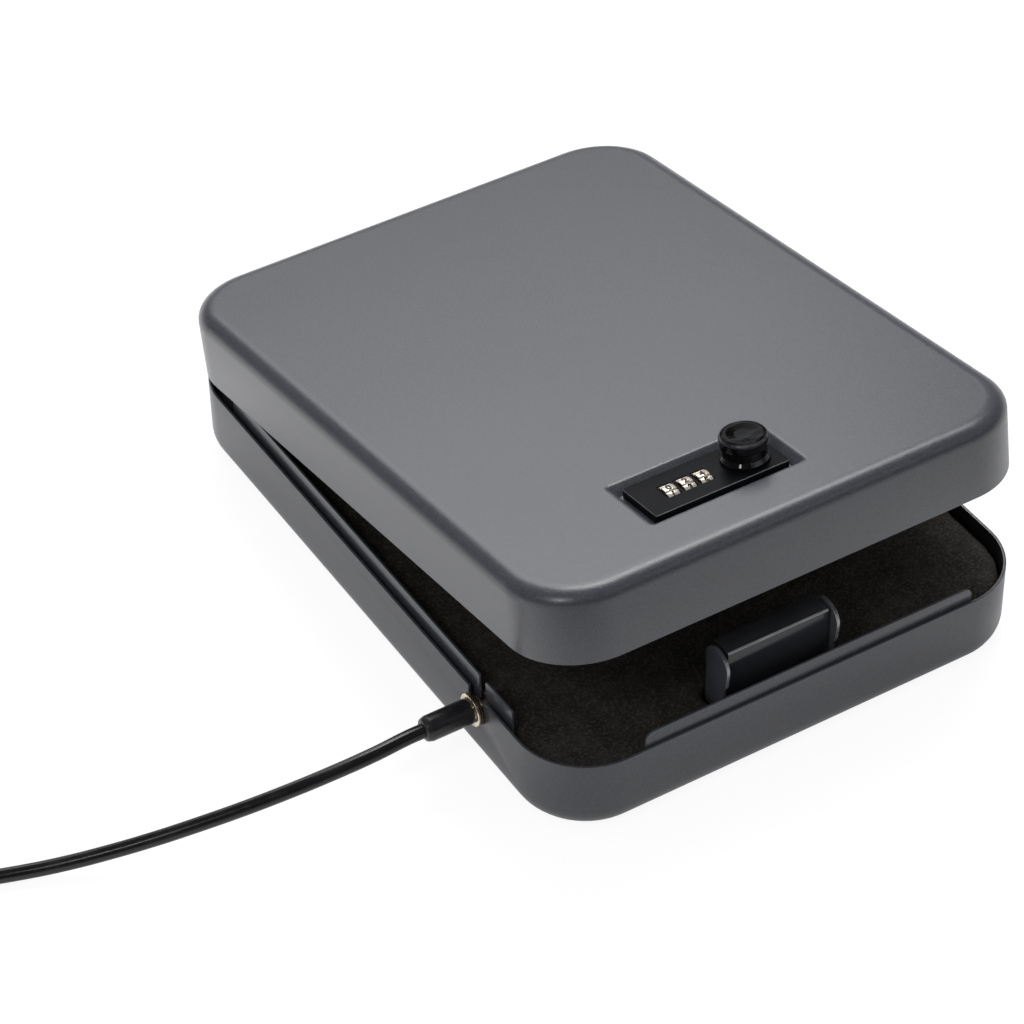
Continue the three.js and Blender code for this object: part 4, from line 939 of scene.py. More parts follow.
def ended(maker, geometry, given):
    """Ends a tree: its instances are made real and given their finish."""
    real = maker.add("GeometryNodeRealizeInstances", None, {"Geometry": geometry})
    finished = {"Geometry": real, "Material": given["Finish"]}
    painted = maker.add("GeometryNodeSetMaterial", None, finished)
    maker.add("NodeGroupOutput", None, {"Geometry": painted})
    return maker.tree


def row_tree():
    """Repeats a mesh along a line."""
    sizes = {"Count": "Int", "First Place": "Vector", "Step": "Vector"}
    maker, given = geometry_tree("row_of_pieces", sizes)
    places = {
        "Count": given["Count"],
        "Start Location": given["First Place"],
        "Offset": given["Step"],
    }
    line = maker.add("GeometryNodeMeshLine", {"mode": "OFFSET"}, places)
    pieces = {"Points": line, "Instance": given["Geometry"]}
    return ended(maker, maker.add("GeometryNodeInstanceOnPoints", None, pieces), given)


def foam_tree():
    """Roughens a foam's skin along its normals, in lumps of a size and a depth."""
    maker, given = geometry_tree("foam_skin", {"Lump Size": "Float", "Lump Depth": "Float"})
    here = maker.add("GeometryNodeInputPosition")
    along = maker.add("GeometryNodeInputNormal")
    noise = {"Vector": here, "Scale": 1 / given["Lump Size"], "Detail": 1}
    lumps = maker.add("ShaderNodeTexNoise", None, noise, "Fac")
    rise = {"Vector": along, "Scale": (lumps - FOAM_LUMP_MIDDLE) * given["Lump Depth"]}
    shift = maker.add("ShaderNodeVectorMath", {"operation": "SCALE"}, rise)
    skin = {"Geometry": given["Geometry"], "Offset": shift}
    return ended(maker, maker.add("GeometryNodeSetPosition", None, skin), given)


def grown(thing, tree, **inputs):
    """Runs a geometry tree on a thing and keeps the plain mesh."""
    modifier = thing.modifiers.new("grown", "NODES")
    modifier.node_group = tree
    for item in tree.interface.items_tree:
        key = item.name.replace(" ", "_").lower()
        if item.in_out == "INPUT" and key in inputs:
            modifier[item.identifier] = inputs[key]
    return settled(thing)


def in_a_row(thing, row, finish, count, first, pitch):
    """Repeats a thing along x, from its first place and with a pitch in millimetres."""
    first_place = [MM * value for value in first]
    step = (MM * pitch, 0, 0)
    return grown(thing, row, count=count, first_place=first_place, step=step, finish=finish)


# Cable

def coil_point(turns):
    """The coil's centreline: in over the bottom layer, up a layer, and out over the top one."""
    reversal = COIL_LAYER_TURNS + COIL_CLIMB_TURNS / 2
    inwards = min(turns, reversal) - max(turns - reversal, 0)
    radius = COIL_RADIUS - COIL_PITCH * inwards
    climb = min(max((turns - COIL_LAYER_TURNS) / COIL_CLIMB_TURNS, 0), 1)
    angle = COIL_ENTRY - turns * 2 * math.pi
    spot = (radius * math.cos(angle), radius * math.sin(angle), COIL_PITCH * climb)
    return COIL_CENTRE + Vector(spot)


def coil_heading(angle):
    """Which way the coil runs where it is at an angle round its centre."""
    return Vector((math.sin(angle), -math.cos(angle), 0))


def cable_points():
    """The whole cable from its sleeve to the ferrule: run, coil and tail."""
    start = SLEEVE_END + CLEARANCE
    run = [
        (-start, CABLE_Y, CABLE_Z),
        (-start - BUTT, CABLE_Y, CABLE_Z),
        (-151, -87.6, 25.7),
        (-169, -86.2, 23.9),
        (-186, -83.3, 21.2),
        (-202, -79.4, 18),
        (-218, -74.8, 14.7),
        (-234, -69.7, 11.4),
        (-249.5, -64.2, 8.4),
        (-265, -58.4, 5.9),
        (-280, -52.4, 4.2),
        (-300, -44.2, 3.2),
    ]
    count = round(COIL_TURNS * COIL_STEPS)
    coil = [coil_point(COIL_TURNS * step / count) for step in range(count + 1)]
    entry = coil[0] - BUTT * coil_heading(COIL_ENTRY)
    leave = coil_heading(COIL_EXIT)
    end = coil[-1] + leave * (BUTT + CLEARANCE)

    def tail_point(along, z):
        spot = end + leave * along
        return Vector((spot.x, spot.y, z))

    low = TAIL_LEVEL + TAIL_DROP
    tail = [
        end,
        tail_point(BUTT, end.z),
        tail_point(TAIL_LEVEL, end.z - TAIL_SAG),
        tail_point(TAIL_LEVEL + TAIL_DROP / 2, (end.z + FERRULE_HALF_HEIGHT) / 2),
        tail_point(low, FERRULE_HALF_HEIGHT),
        tail_point(low + BUTT, FERRULE_HALF_HEIGHT),
    ]
    return [Vector(point) for point in run] + [entry] + coil + tail


def eye_points(middle, start):
    """The eye that is turned back into the ferrule."""
    side = CABLE_RADIUS + CLEARANCE
    wide = EYE_HALF_WIDTH - CABLE_RADIUS
    half = [(side, 0), (side, BUTT), (wide, EYE_LENGTH * 0.55), (wide * 0.62, EYE_LENGTH * 0.88)]
    loop = [(-x, y) for x, y in half] + [(0, EYE_LENGTH)] + half[::-1]
    return [Vector((middle + x, start + y, FERRULE_HALF_HEIGHT)) for x, y in loop]


def cable_curve(name, points, steps, finish):
    """A round cable through its points, with a number of steps from each to the next."""
    curve = bpy.data.curves.new(name, "CURVE")
    curve.dimensions = "3D"
    curve.resolution_u = steps
    curve.bevel_depth = CABLE_RADIUS * MM
    curve.bevel_resolution = 5
    curve.use_fill_caps = True
    spline = curve.splines.new("BEZIER")
    spline.bezier_points.add(len(points) - 1)
    for knot, point in zip(spline.bezier_points, points):
        knot.co = point * MM
        knot.handle_left_type = "AUTO"
        knot.handle_right_type = "AUTO"
    curve.materials.append(finish)
    return linked(name, curve)


def ferrule_shape(middle, start):
    """A swaged stadium with eased ends and two shallow press marks.

    Each station is a distance along the ferrule and how far its skin stands in there.
    """
    flat = FERRULE_HALF_WIDTH - FERRULE_HALF_HEIGHT
    stations = [(0, 0.8), (0.5, 0.25), (1.1, 0), (4.5, 0), (5.3, 0.35), (7.2, 0.35), (8, 0)]
    stations += [(FERRULE_LENGTH - along, inset) for along, inset in reversed(stations)]
    rings = []
    for along, inset in stations:
        radius = FERRULE_HALF_HEIGHT - inset
        level = []
        for side, first in ((1, -math.pi / 2), (-1, math.pi / 2)):
            for step in range(CORNER_STEPS + 1):
                angle = first + math.pi * step / CORNER_STEPS
                x = middle + side * flat + radius * math.cos(angle)
                level.append((x, start + along, FERRULE_HALF_HEIGHT + radius * math.sin(angle)))
        rings.append(level)
    return loft(rings)


def cable(vinyl, aluminium):
    """The cable, its ferrule and the eye at its end."""
    points = cable_points()
    whole = cable_curve("security_cable", points, 4, vinyl)
    fitted(whole, "base", ["cable_run", "cable_coil", "cable_tail"])
    end = points[-1]
    start = end.y + CLEARANCE
    ferrule = smooth(mesh_object("ferrule", ferrule_shape(end.x, start), aluminium))
    fitted(ferrule, "base", ["cable_ferrule"])
    eye_start = start + FERRULE_LENGTH + CLEARANCE
    eye = cable_curve("eye", eye_points(end.x, eye_start), 8, vinyl)
    fitted(eye, "base", ["cable_eye"])
    [value * MM for value in points[0]]


def outwards(profile, closed=False):
    """A profile of (radius, distance from the box's middle), turned about the cable's axis."""
    mirrored = [(radius, -along) for radius, along in profile]
    return turned(mirrored, "x", (0, CABLE_Y, CABLE_Z), closed)


def brass_fitting(brass):
    """The head inside the wall, the neck through it, and the collar, flange and barrel outside."""
    collar = INNER_X - CLEARANCE
    flange_end = FLANGE_START + FLANGE
    profile = rounded([
        (0, HEAD_END - HEAD_LENGTH),
        (HEAD_RADIUS, HEAD_END - HEAD_LENGTH, 0.8),
        (HEAD_RADIUS, HEAD_END, 0.4),
        (NECK_RADIUS, HEAD_END),
        (NECK_RADIUS, collar),
        (COLLAR_RADIUS, collar, 0.3),
        (COLLAR_RADIUS, FLANGE_START),
        (FLANGE_RADIUS, FLANGE_START, 0.3),
        (FLANGE_RADIUS, flange_end, 0.4),
        (5.6, flange_end, 0.2),
        (BARREL_RADIUS, flange_end - 0.2),
        (BARREL_RADIUS, flange_end + BARREL_LENGTH, 0.4),
        (0, flange_end + BARREL_LENGTH),
    ])
    fitting = smooth(mesh_object("fitting", outwards(profile), brass))
    fitted(fitting, "base", ["cable_fitting"])


def brass_washer(old_brass):
    """The ring between the flange and the wall."""
    bore = COLLAR_RADIUS + CLEARANCE
    end = WASHER_START + WASHER_RING
    profile = rounded([
        (bore, WASHER_START, 0.1),
        (FLANGE_RADIUS, WASHER_START, 0.3),
        (FLANGE_RADIUS, end, 0.3),
        (bore, end, 0.1),
    ], closed=True)
    washer = smooth(mesh_object("washer", outwards(profile, closed=True), old_brass))
    fitted(washer, "base", ["cable_washer"])


def vinyl_sleeve(vinyl):
    """The sleeve over the barrel, rounded down to the cable at its end."""
    bore = BARREL_RADIUS + CLEARANCE
    bore_end = FLANGE_START + FLANGE + BARREL_LENGTH + CLEARANCE
    profile = rounded([
        (0, bore_end),
        (bore, bore_end),
        (bore, SLEEVE_START),
        (SLEEVE_RADIUS, SLEEVE_START, 0.35),
        (SLEEVE_RADIUS, SLEEVE_END - 2.6, 2.4),
        (4.5, SLEEVE_END - 0.6, 0.9),
        (3.4, SLEEVE_END, 0.3),
        (0, SLEEVE_END),
    ])
    sleeve = smooth(mesh_object("sleeve", outwards(profile), vinyl))
    fitted(sleeve, "base", ["cable_sleeve"])


# Lower tray and its lips

def notch_shape():
    """The round-bottomed notch in the left wall that the fitting hangs in."""
    outline = [(CABLE_Y + NOTCH_HALF_WIDTH, BASE_HEIGHT + 1)]
    for step in range(ROUND_STEPS // 2 + 1):
        angle = -math.pi * step / (ROUND_STEPS // 2)
        y = CABLE_Y + NOTCH_HALF_WIDTH * math.cos(angle)
        outline.append((y, CABLE_Z + NOTCH_HALF_WIDTH * math.sin(angle)))
    outline.append((CABLE_Y - NOTCH_HALF_WIDTH, BASE_HEIGHT + 1))
    return prism(outline, "x", -WALL_X - 1, -INNER_X + 1)


def hinge_rivet_holes(side):
    """The holes through the rear wall, below the hinge's axis on side -1 and above it on side 1."""
    z = HINGE_Z + side * HINGE_RIVET_DROP
    holes = []
    for index in range(HINGE_RIVETS):
        x = HINGE_RIVET_FIRST + index * HINGE_RIVET_PITCH
        holes.append(bar("y", (x, 0, z), RIVET_HOLE, INNER_Y - 1, LEAF_Y + 2))
    return holes


def base_shell(paint, dark):
    """The lower tray, with painted shade: its inside and floor are given a dark colour."""
    outside = wall_rings(WALL_X, WALL_Y, CORNER_RADIUS, BASE_FILLET, 0, BASE_HEIGHT)
    inside = wall_rings(
        INNER_X, INNER_Y, CORNER_RADIUS - SHEET, BASE_FILLET - SHEET, SHEET, BASE_HEIGHT,
    )
    shell = mesh_object("lower_tray", loft(outside + inside[::-1]), paint)
    cut(shell, notch_shape(), *hinge_rivet_holes(-1))
    eased(shell, RIM_EDGE, angle=60)
    # Painted shade: the inward faces and the floor inside the tray take the dark colour.
    refinished(shell, dark, lambda middle, normal: (
        SHEET - 0.1 < middle.z < BASE_HEIGHT - 0.4
        and (normal.z > 0.5 or normal.x * middle.x + normal.y * middle.y < -1)
    ))
    fitted(smooth(shell), "base", ["base_shell"])


def front_lip(paint):
    """The upright strip behind the front wall."""
    outline = rounded([
        (FRONT_LIP_LEFT, LIP_BOTTOM),
        (FRONT_LIP_RIGHT, LIP_BOTTOM),
        (FRONT_LIP_RIGHT, LIP_TOP, LIP_CORNER),
        (FRONT_LIP_LEFT, LIP_TOP, LIP_CORNER),
    ], closed=True)
    strip = prism(outline, "y", FRONT_LIP_FACE, FRONT_LIP_FACE + LIP_SHEET)
    lip = mesh_object("front_lip_strip", strip, paint)
    fitted(smooth(eased(lip, LIP_EDGE)), "base", ["front_lip"])


def corner_cutter(y, way):
    """What a lip loses at its rounded top corner at y. The way is 1 at its back, -1 in front."""
    shoulder = LIP_TOP - SIDE_LIP_CORNER
    outline = [
        (y + way, shoulder),
        (y + way, LIP_TOP + 1),
        (y - way * SIDE_LIP_CORNER, LIP_TOP + 1),
    ]
    for step in range(FILLET_STEPS + 1):
        angle = math.pi / 2 * (1 - step / FILLET_STEPS)
        across = y - way * SIDE_LIP_CORNER * (1 - math.cos(angle))
        outline.append((across, shoulder + SIDE_LIP_CORNER * math.sin(angle)))
    return prism(outline, "x", -WALL_X, WALL_X)


def side_lip(name, node, side, front, back, paint):
    """A strip that lies on the wall low down and steps inwards above its bend."""
    low = INNER_X - CLEARANCE
    high = WALL_X - SIDE_LIP_INSET
    step = SIDE_LIP_BEND + LIP_SHEET + low - high
    half = LIP_SHEET / 2
    outline = rounded([
        (side * low, LIP_BOTTOM),
        (side * low, SIDE_LIP_BEND, 1.2),
        (side * high, step, 1.2),
        (side * high, LIP_TOP),
        (side * (high - LIP_SHEET), LIP_TOP),
        (side * (high - LIP_SHEET), step - half, 0.8),
        (side * (low - LIP_SHEET), SIDE_LIP_BEND - half, 0.8),
        (side * (low - LIP_SHEET), LIP_BOTTOM),
    ], closed=True)
    lip = mesh_object(name, prism(outline, "y", front, back), paint)
    cut(lip, corner_cutter(front, -1), corner_cutter(back, 1))
    fitted(smooth(eased(lip, LIP_EDGE)), "base", [node])


def lips(paint):
    front_lip(paint)
    slot = LIP_SLOT_WIDTH / 2
    side_lip("left_lip_rear", "left_lip_long", -1, CABLE_Y + slot, SIDE_LIP_BACK, paint)
    side_lip("left_lip_front", "left_lip_short", -1, LEFT_LIP_FRONT, CABLE_Y - slot, paint)
    side_lip("right_lip_strip", "right_lip", 1, RIGHT_LIP_FRONT, SIDE_LIP_BACK, paint)


# Foam in the tray

def foam_skin(thing, tree, finish):
    """Remeshes a foam block evenly, softens it and gives it the fine lumps of cut foam."""
    remesh = thing.modifiers.new("even", "REMESH")
    remesh.mode = "VOXEL"
    remesh.voxel_size = FOAM_VOXEL * MM
    settled(thing)
    soften = thing.modifiers.new("soften", "SMOOTH")
    soften.factor = 0.5
    soften.iterations = 4
    settled(thing)
    sizes = {"lump_size": FOAM_LUMP * MM, "lump_depth": FOAM_LUMP_DEPTH * MM}
    grown(thing, tree, **sizes, finish=finish)
    return smooth(thing, math.radians(180))


def room(x0, x1, y0, y1, z0):
    """A room cut through the foam from a height up."""
    return block(x0, x1, y0, y1, z0, FOAM_TOP + 1)


def foam_rooms():
    """The rooms for the strike, the fitting's head and the lips on the left, right and front."""
    gap = FOAM_CUT_GAP
    reach = HEAD_RADIUS + gap
    head = HEAD_END - HEAD_LENGTH - gap
    lip_back = SIDE_LIP_BACK + gap
    lip_low = LIP_BOTTOM - gap
    front_lip_back = FRONT_LIP_FACE + LIP_SHEET + CLEARANCE
    return [
        room(STRIKE_LEFT - gap, STRIKE_RIGHT + gap, -WALL_Y, CHEEK_BACK + gap, -1),
        room(-WALL_X, -head, CABLE_Y - reach, CABLE_Y + reach, CABLE_Z - reach),
        room(-WALL_X, -HEAD_END, LEFT_LIP_FRONT - gap, lip_back, lip_low),
        room(HEAD_END, WALL_X, RIGHT_LIP_FRONT - gap, lip_back, lip_low),
        room(FRONT_LIP_LEFT - gap, FRONT_LIP_RIGHT + gap, -WALL_Y, front_lip_back, lip_low),
    ]


def base_foam(foam, tree):
    """The foam bed, cut away round what stands in the tray."""
    middle = (FOAM_REST + FOAM_TOP) / 2
    size = (FOAM_X, FOAM_Y, FOAM_CORNER)
    low = wall_rings(*size, FOAM_BOTTOM_FILLET, FOAM_REST, middle)
    high = wall_rings(*size, FOAM_FILLET, FOAM_TOP, middle + SUPPORT)
    bed = mesh_object("foam_bed", loft(low + high[::-1]), foam)
    cut(bed, *foam_rooms())
    foam_skin(bed, tree, foam)
    fitted(bed, "base", ["base_foam"])


# Strike

def cheek_outline():
    """A cheek from the side: upright at the back, and leaning out over the lip at the front."""
    return rounded([
        (CHEEK_SHIN, STRIKE_FOOT, 0.3),
        (CHEEK_BACK, STRIKE_FOOT, 0.3),
        (CHEEK_BACK, CHEEK_TOP, 6),
        (CHEEK_BROW, CHEEK_TOP, 7.2),
        (CHEEK_NECK, CHEEK_NECK_HEIGHT, 2),
        (CHEEK_SHIN, CHEEK_SHIN_HEIGHT, 2),
    ], closed=True, steps=10)


def bent_sheet(ends, bend_z, way):
    """The strike's sheet from the side, bent once at the front.

    The ends are the height of its upright end and the place of its flat one. The way is 1 where
    the bend is at its foot and -1 where it is at its top.
    """
    upright, back = ends
    inner_y = STRIKE_FRONT + STRIKE_SHEET
    inner_z = bend_z + way * STRIKE_SHEET
    return rounded([
        (STRIKE_FRONT, upright),
        (STRIKE_FRONT, bend_z, STRIKE_BEND),
        (back, bend_z),
        (back, inner_z),
        (inner_y, inner_z, STRIKE_INNER_BEND),
        (inner_y, upright),
    ], closed=True, steps=8)


def strike_parts(black, pale_black):
    """Each part's name, shape, rounding and coat, and a test for where it gets a painted highlight.
    """
    left = STRIKE_LEFT + STRIKE_SHEET
    right = STRIKE_RIGHT - STRIKE_SHEET
    plate_left = left + STRIKE_GAP
    plate_right = right - STRIKE_GAP
    bent_plate = bent_sheet((STRIKE_SHOULDER - 1, STRIKE_BACK), STRIKE_TOP, -1)
    plate = prism(bent_plate, "x", plate_left, plate_right)
    bent_foot = bent_sheet((STRIKE_SHOULDER, CHEEK_BACK - CLEARANCE), STRIKE_FOOT, 1)
    foot = prism(bent_foot, "x", STRIKE_LEFT + 1, STRIKE_RIGHT - 1)
    left_cheek = prism(cheek_outline(), "x", STRIKE_LEFT, left)
    right_cheek = prism(cheek_outline(), "x", right, STRIKE_RIGHT)

    def on_plate_bend(middle, normal):
        along = plate_left + 1 < middle.x < plate_right - 1
        return along and normal.y < -0.3 and normal.z > 0.15

    def on_cheek_brow(middle, normal):
        high = BASE_HEIGHT + 4 < middle.z < STRIKE_TOP - 1.5
        return high and normal.y < -0.35 and abs(normal.x) < 0.8

    return [
        ("strike_plate", plate, 0.35, black, on_plate_bend),
        ("strike_foot", foot, 0.25, black, None),
        # The cheeks take the paler copy of the black coat, as painted light.
        ("strike_cheek_left", left_cheek, 0.45, pale_black, on_cheek_brow),
        ("strike_cheek_right", right_cheek, 0.45, pale_black, on_cheek_brow),
    ]


def strike(black, pale_black, edge_highlight):
    """A bent plate between two cheeks: it shows a gap beside each cheek above the lip."""
    for name, shape, edge, coat, gets_highlight in strike_parts(black, pale_black):
        part = smooth(eased(mesh_object(name, shape, coat), edge, angle=40, segments=3))
        # Painted highlight on the plate's front bend and the cheeks' front edges.
        if gets_highlight:
            refinished(part, edge_highlight, gets_highlight)
        fitted(part, "base", ["strike_bracket"])


def rivet_crown(seat):
    """A domed rivet head, from its seat to the crown."""
    return [
        (RIVET_HEAD_RADIUS, seat, 0.15),
        (RIVET_HEAD_RADIUS * 0.92, seat + RIVET_HEAD_HEIGHT * 0.55, 0.6),
        (RIVET_HEAD_RADIUS * 0.55, seat + RIVET_HEAD_HEIGHT, 1.2),
        (0, seat + RIVET_HEAD_HEIGHT),
    ]


def strike_rivets(zinc, row):
    """Two rivets through the strike's foot and the tray's floor."""
    start = SHEET * 0.4
    seat = STRIKE_FOOT + STRIKE_SHEET + CLEARANCE
    profile = rounded([
        (0, start),
        (RIVET_RADIUS + 0.6, start, 0.2),
        (RIVET_RADIUS, start + 0.6),
        (RIVET_RADIUS, seat),
        *rivet_crown(seat),
    ])
    rivets = mesh_object("strike_rivets", turned(profile, "z", (0, 0, 0)), zinc)
    y = (STRIKE_FRONT + STRIKE_SHEET + CHEEK_BACK) / 2
    first = (STRIKE_RIVET_X, y, 0)
    in_a_row(rivets, row, zinc, 2, first, STRIKE_RIVET_SPACING)
    fitted(smooth(rivets), "base", ["strike_rivet_1", "strike_rivet_2"])


# Hinge

def leaf_outline(side, own):
    """A leaf with a root up to the axis at each of its own knuckles."""
    near = HINGE_Z + side * (KNUCKLE_RADIUS + KNUCKLE_GAP)
    far = HINGE_Z + side * HINGE_LEAF_HEIGHT
    half = HINGE_LENGTH / 2
    outline = [(half, far, 2), (-half, far, 2)]
    for knuckle in range(HINGE_KNUCKLES):
        start = -half + knuckle * KNUCKLE_STEP
        end = start + KNUCKLE_LENGTH
        if knuckle % 2 == own:
            outline += [(start, near), (start, HINGE_Z), (end, HINGE_Z), (end, near)]
        elif knuckle == 0:
            outline.append((start, near))
        elif knuckle == HINGE_KNUCKLES - 1:
            outline.append((end, near))
    return rounded(outline, closed=True)


def hinge_leaf(name, node, side, own, body, black, row):
    """A leaf on its side of the axis, and its own share of the knuckles."""
    shape = prism(leaf_outline(side, own), "y", LEAF_Y, LEAF_Y + HINGE_LEAF)
    leaf = cut(mesh_object(name, shape, black), *hinge_rivet_holes(side))
    eased(leaf, 0.2)
    bore = PIN_RADIUS + CLEARANCE
    profile = rounded([
        (bore, 0, 0.1),
        (KNUCKLE_RADIUS, 0, 0.4),
        (KNUCKLE_RADIUS, KNUCKLE_LENGTH, 0.4),
        (bore, KNUCKLE_LENGTH, 0.1),
    ], closed=True, steps=3)
    tube = turned(profile, "x", (0, 0, 0), closed=True)
    knuckles = mesh_object(name + "_knuckles", tube, black)
    count = (HINGE_KNUCKLES + 1 - own) // 2
    first = (-HINGE_LENGTH / 2 + own * KNUCKLE_STEP, HINGE_Y, HINGE_Z)
    in_a_row(knuckles, row, black, count, first, 2 * KNUCKLE_STEP)
    for part in (leaf, knuckles):
        fitted(smooth(part), body, [node])


def hinge_rivets(name, side, body, zinc, row):
    """Three rivets through a leaf and the rear wall, with a domed head outside and one inside."""
    inside = INNER_Y - CLEARANCE
    outside = LEAF_Y + HINGE_LEAF + CLEARANCE / 2
    profile = rounded([
        (0, inside - RIVET_HEAD_HEIGHT),
        (RIVET_HEAD_RADIUS * 0.55, inside - RIVET_HEAD_HEIGHT, 1.2),
        (RIVET_HEAD_RADIUS, inside - 0.3, 0.2),
        (RIVET_HEAD_RADIUS, inside + CLEARANCE),
        (RIVET_RADIUS, inside + CLEARANCE),
        (RIVET_RADIUS, outside),
        *rivet_crown(outside),
    ])
    shape = turned(profile, "y", (0, 0, 0), steps=SMALL_ROUND_STEPS)
    rivets = mesh_object(name, shape, zinc)
    first = (HINGE_RIVET_FIRST, 0, HINGE_Z + side * HINGE_RIVET_DROP)
    in_a_row(rivets, row, zinc, HINGE_RIVETS, first, HINGE_RIVET_PITCH)
    nodes = [f"hinge_rivet_{body}_{index + 1}" for index in range(HINGE_RIVETS)]
    fitted(smooth(rivets), body, nodes)


def hinge_pin(zinc):
    """The pin through all five knuckles, headed at both ends."""
    half = HINGE_LENGTH / 2 + CLEARANCE
    end = half + PIN_HEAD_LENGTH
    profile = rounded([
        (0, -end),
        (PIN_HEAD_RADIUS, -end, 0.9),
        (PIN_HEAD_RADIUS, -half, 0.2),
        (PIN_RADIUS, -half),
        (PIN_RADIUS, half),
        (PIN_HEAD_RADIUS, half, 0.2),
        (PIN_HEAD_RADIUS, end, 0.9),
        (0, end),
    ])
    shape = turned(profile, "x", (0, HINGE_Y, HINGE_Z), steps=SMALL_ROUND_STEPS)
    fitted(smooth(mesh_object("hinge_pin_rod", shape, zinc)), "base", ["hinge_pin"])


def hinge(black, zinc, row):
    """The lower leaf has the first, third and fifth knuckle, and the upper leaf the others."""
    hinge_leaf("hinge_lower_leaf", "hinge_leaf_base", -1, 0, "base", black, row)
    hinge_leaf("hinge_upper_leaf", "hinge_leaf_lid", 1, 1, "lid", black, row)
    hinge_pin(zinc)
    hinge_rivets("hinge_rivets_lower", -1, "base", zinc, row)
    hinge_rivets("hinge_rivets_upper", 1, "lid", zinc, row)


# Lid

def recess_rings():
    """From the flat of the lid, round the rolled mouth and down the slope to the dial window."""
    slope = math.atan2(RECESS_SINK, RECESS_SLOPE)
    reach = RECESS_ROLL * math.tan(slope / 2)
    floor = BOX_HEIGHT - RECESS_SINK
    underside = floor - SHEET

    def level(grow, z, corner):
        return ring(RECESS_HALF_X + grow, RECESS_HALF_Y + grow, corner, z, (LOCK_X, LOCK_Y))

    def window(z):
        half_x = SHAFT_HALF_LENGTH + CLEARANCE
        return ring(half_x, WELL_HALF_Y, 0.4, z, (DIAL_MIDDLE, LOCK_Y))

    rings = [level(reach + SUPPORT, BOX_HEIGHT, RECESS_CORNER + 0.6)]
    for step in range(FILLET_STEPS + 1):
        angle = slope * step / FILLET_STEPS
        grow = reach - RECESS_ROLL * math.sin(angle)
        drop = RECESS_ROLL * (1 - math.cos(angle))
        rings.append(level(grow, BOX_HEIGHT - drop, RECESS_CORNER + grow - reach))
    pan = SHEET * RECESS_SLOPE / RECESS_SINK
    return rings + [
        level(-RECESS_SLOPE, floor, 0.8),
        window(floor),
        window(underside),
        level(SHEET - RECESS_SLOPE - pan, underside, 1),
        level(SHEET * (1 - RECESS_SLOPE / RECESS_SINK), BOX_HEIGHT - SHEET, 2),
    ]


def lid_shell(paint):
    """The upper tray with its sunk place for the lock, drilled for screws, spindle and rivets."""
    outside = wall_rings(
        WALL_X, WALL_Y, CORNER_RADIUS, LID_FILLET, BOX_HEIGHT, LID_BOTTOM, LID_FILLET_SPREAD,
    )
    inside = wall_rings(
        INNER_X, INNER_Y, CORNER_RADIUS - SHEET, LID_FILLET - SHEET, BOX_HEIGHT - SHEET, LID_BOTTOM,
    )
    shape = loft(outside[::-1] + recess_rings() + inside, closed=True)
    shell = mesh_object("upper_tray", shape, paint)
    low = BOX_HEIGHT - RECESS_SINK - SHEET - 1
    high = BOX_HEIGHT - RECESS_SINK + 1
    drills = [(KNOB_X, LOCK_Y, SPINDLE_RADIUS + CLEARANCE)]
    drills += [(x, y, RIVET_HOLE) for x, y in SCREW_PLACES]
    holes = [bar("z", (x, y, 0), radius, low, high) for x, y, radius in drills]
    cut(shell, *holes, *hinge_rivet_holes(1))
    eased(shell, RIM_EDGE, angle=60)
    fitted(smooth(shell), "lid", ["lid_shell"])


def lid_foam(foam, tree):
    """The thin sheet of foam under the lid, behind the lock."""
    half_x = INNER_X - LID_FOAM_GAP
    back = INNER_Y - LID_FOAM_GAP
    corner = CORNER_RADIUS - LID_FOAM_GAP
    ceiling = BOX_HEIGHT - SHEET - CLEARANCE
    outline = rounded([
        (-half_x, LID_FOAM_FRONT, LID_FOAM_CORNER),
        (half_x, LID_FOAM_FRONT, LID_FOAM_CORNER),
        (half_x, back, corner),
        (-half_x, back, corner),
    ], closed=True, steps=12)
    slab = prism(outline, "z", ceiling - LID_FOAM, ceiling - 0.2)
    sheet = mesh_object("lid_foam_sheet", slab, foam)
    foam_skin(sheet, tree, foam)
    fitted(sheet, "lid", ["lid_foam"])


# Lock

def dial_x(index):
    """The middle of a dial, counted from 0 at the left."""
    return DIAL_MIDDLE + (index - 1) * DIAL_PITCH


def plate_rings():
    """The faceplate's rings, from its underside round its eased top edge."""
    levels = [(0, PLATE_BOTTOM), (0, PLATE_TOP - PLATE_EDGE)]
    for step in range(1, ARC_STEPS + 1):
        angle = math.pi / 2 * step / ARC_STEPS
        inset = PLATE_EDGE * (1 - math.cos(angle))
        levels.append((inset, PLATE_TOP - PLATE_EDGE * (1 - math.sin(angle))))
    return [
        ring(
            PLATE_HALF_X - inset, PLATE_HALF_Y - inset, PLATE_CORNER - inset, z, (LOCK_X, LOCK_Y),
        )
        for inset, z in levels
    ]


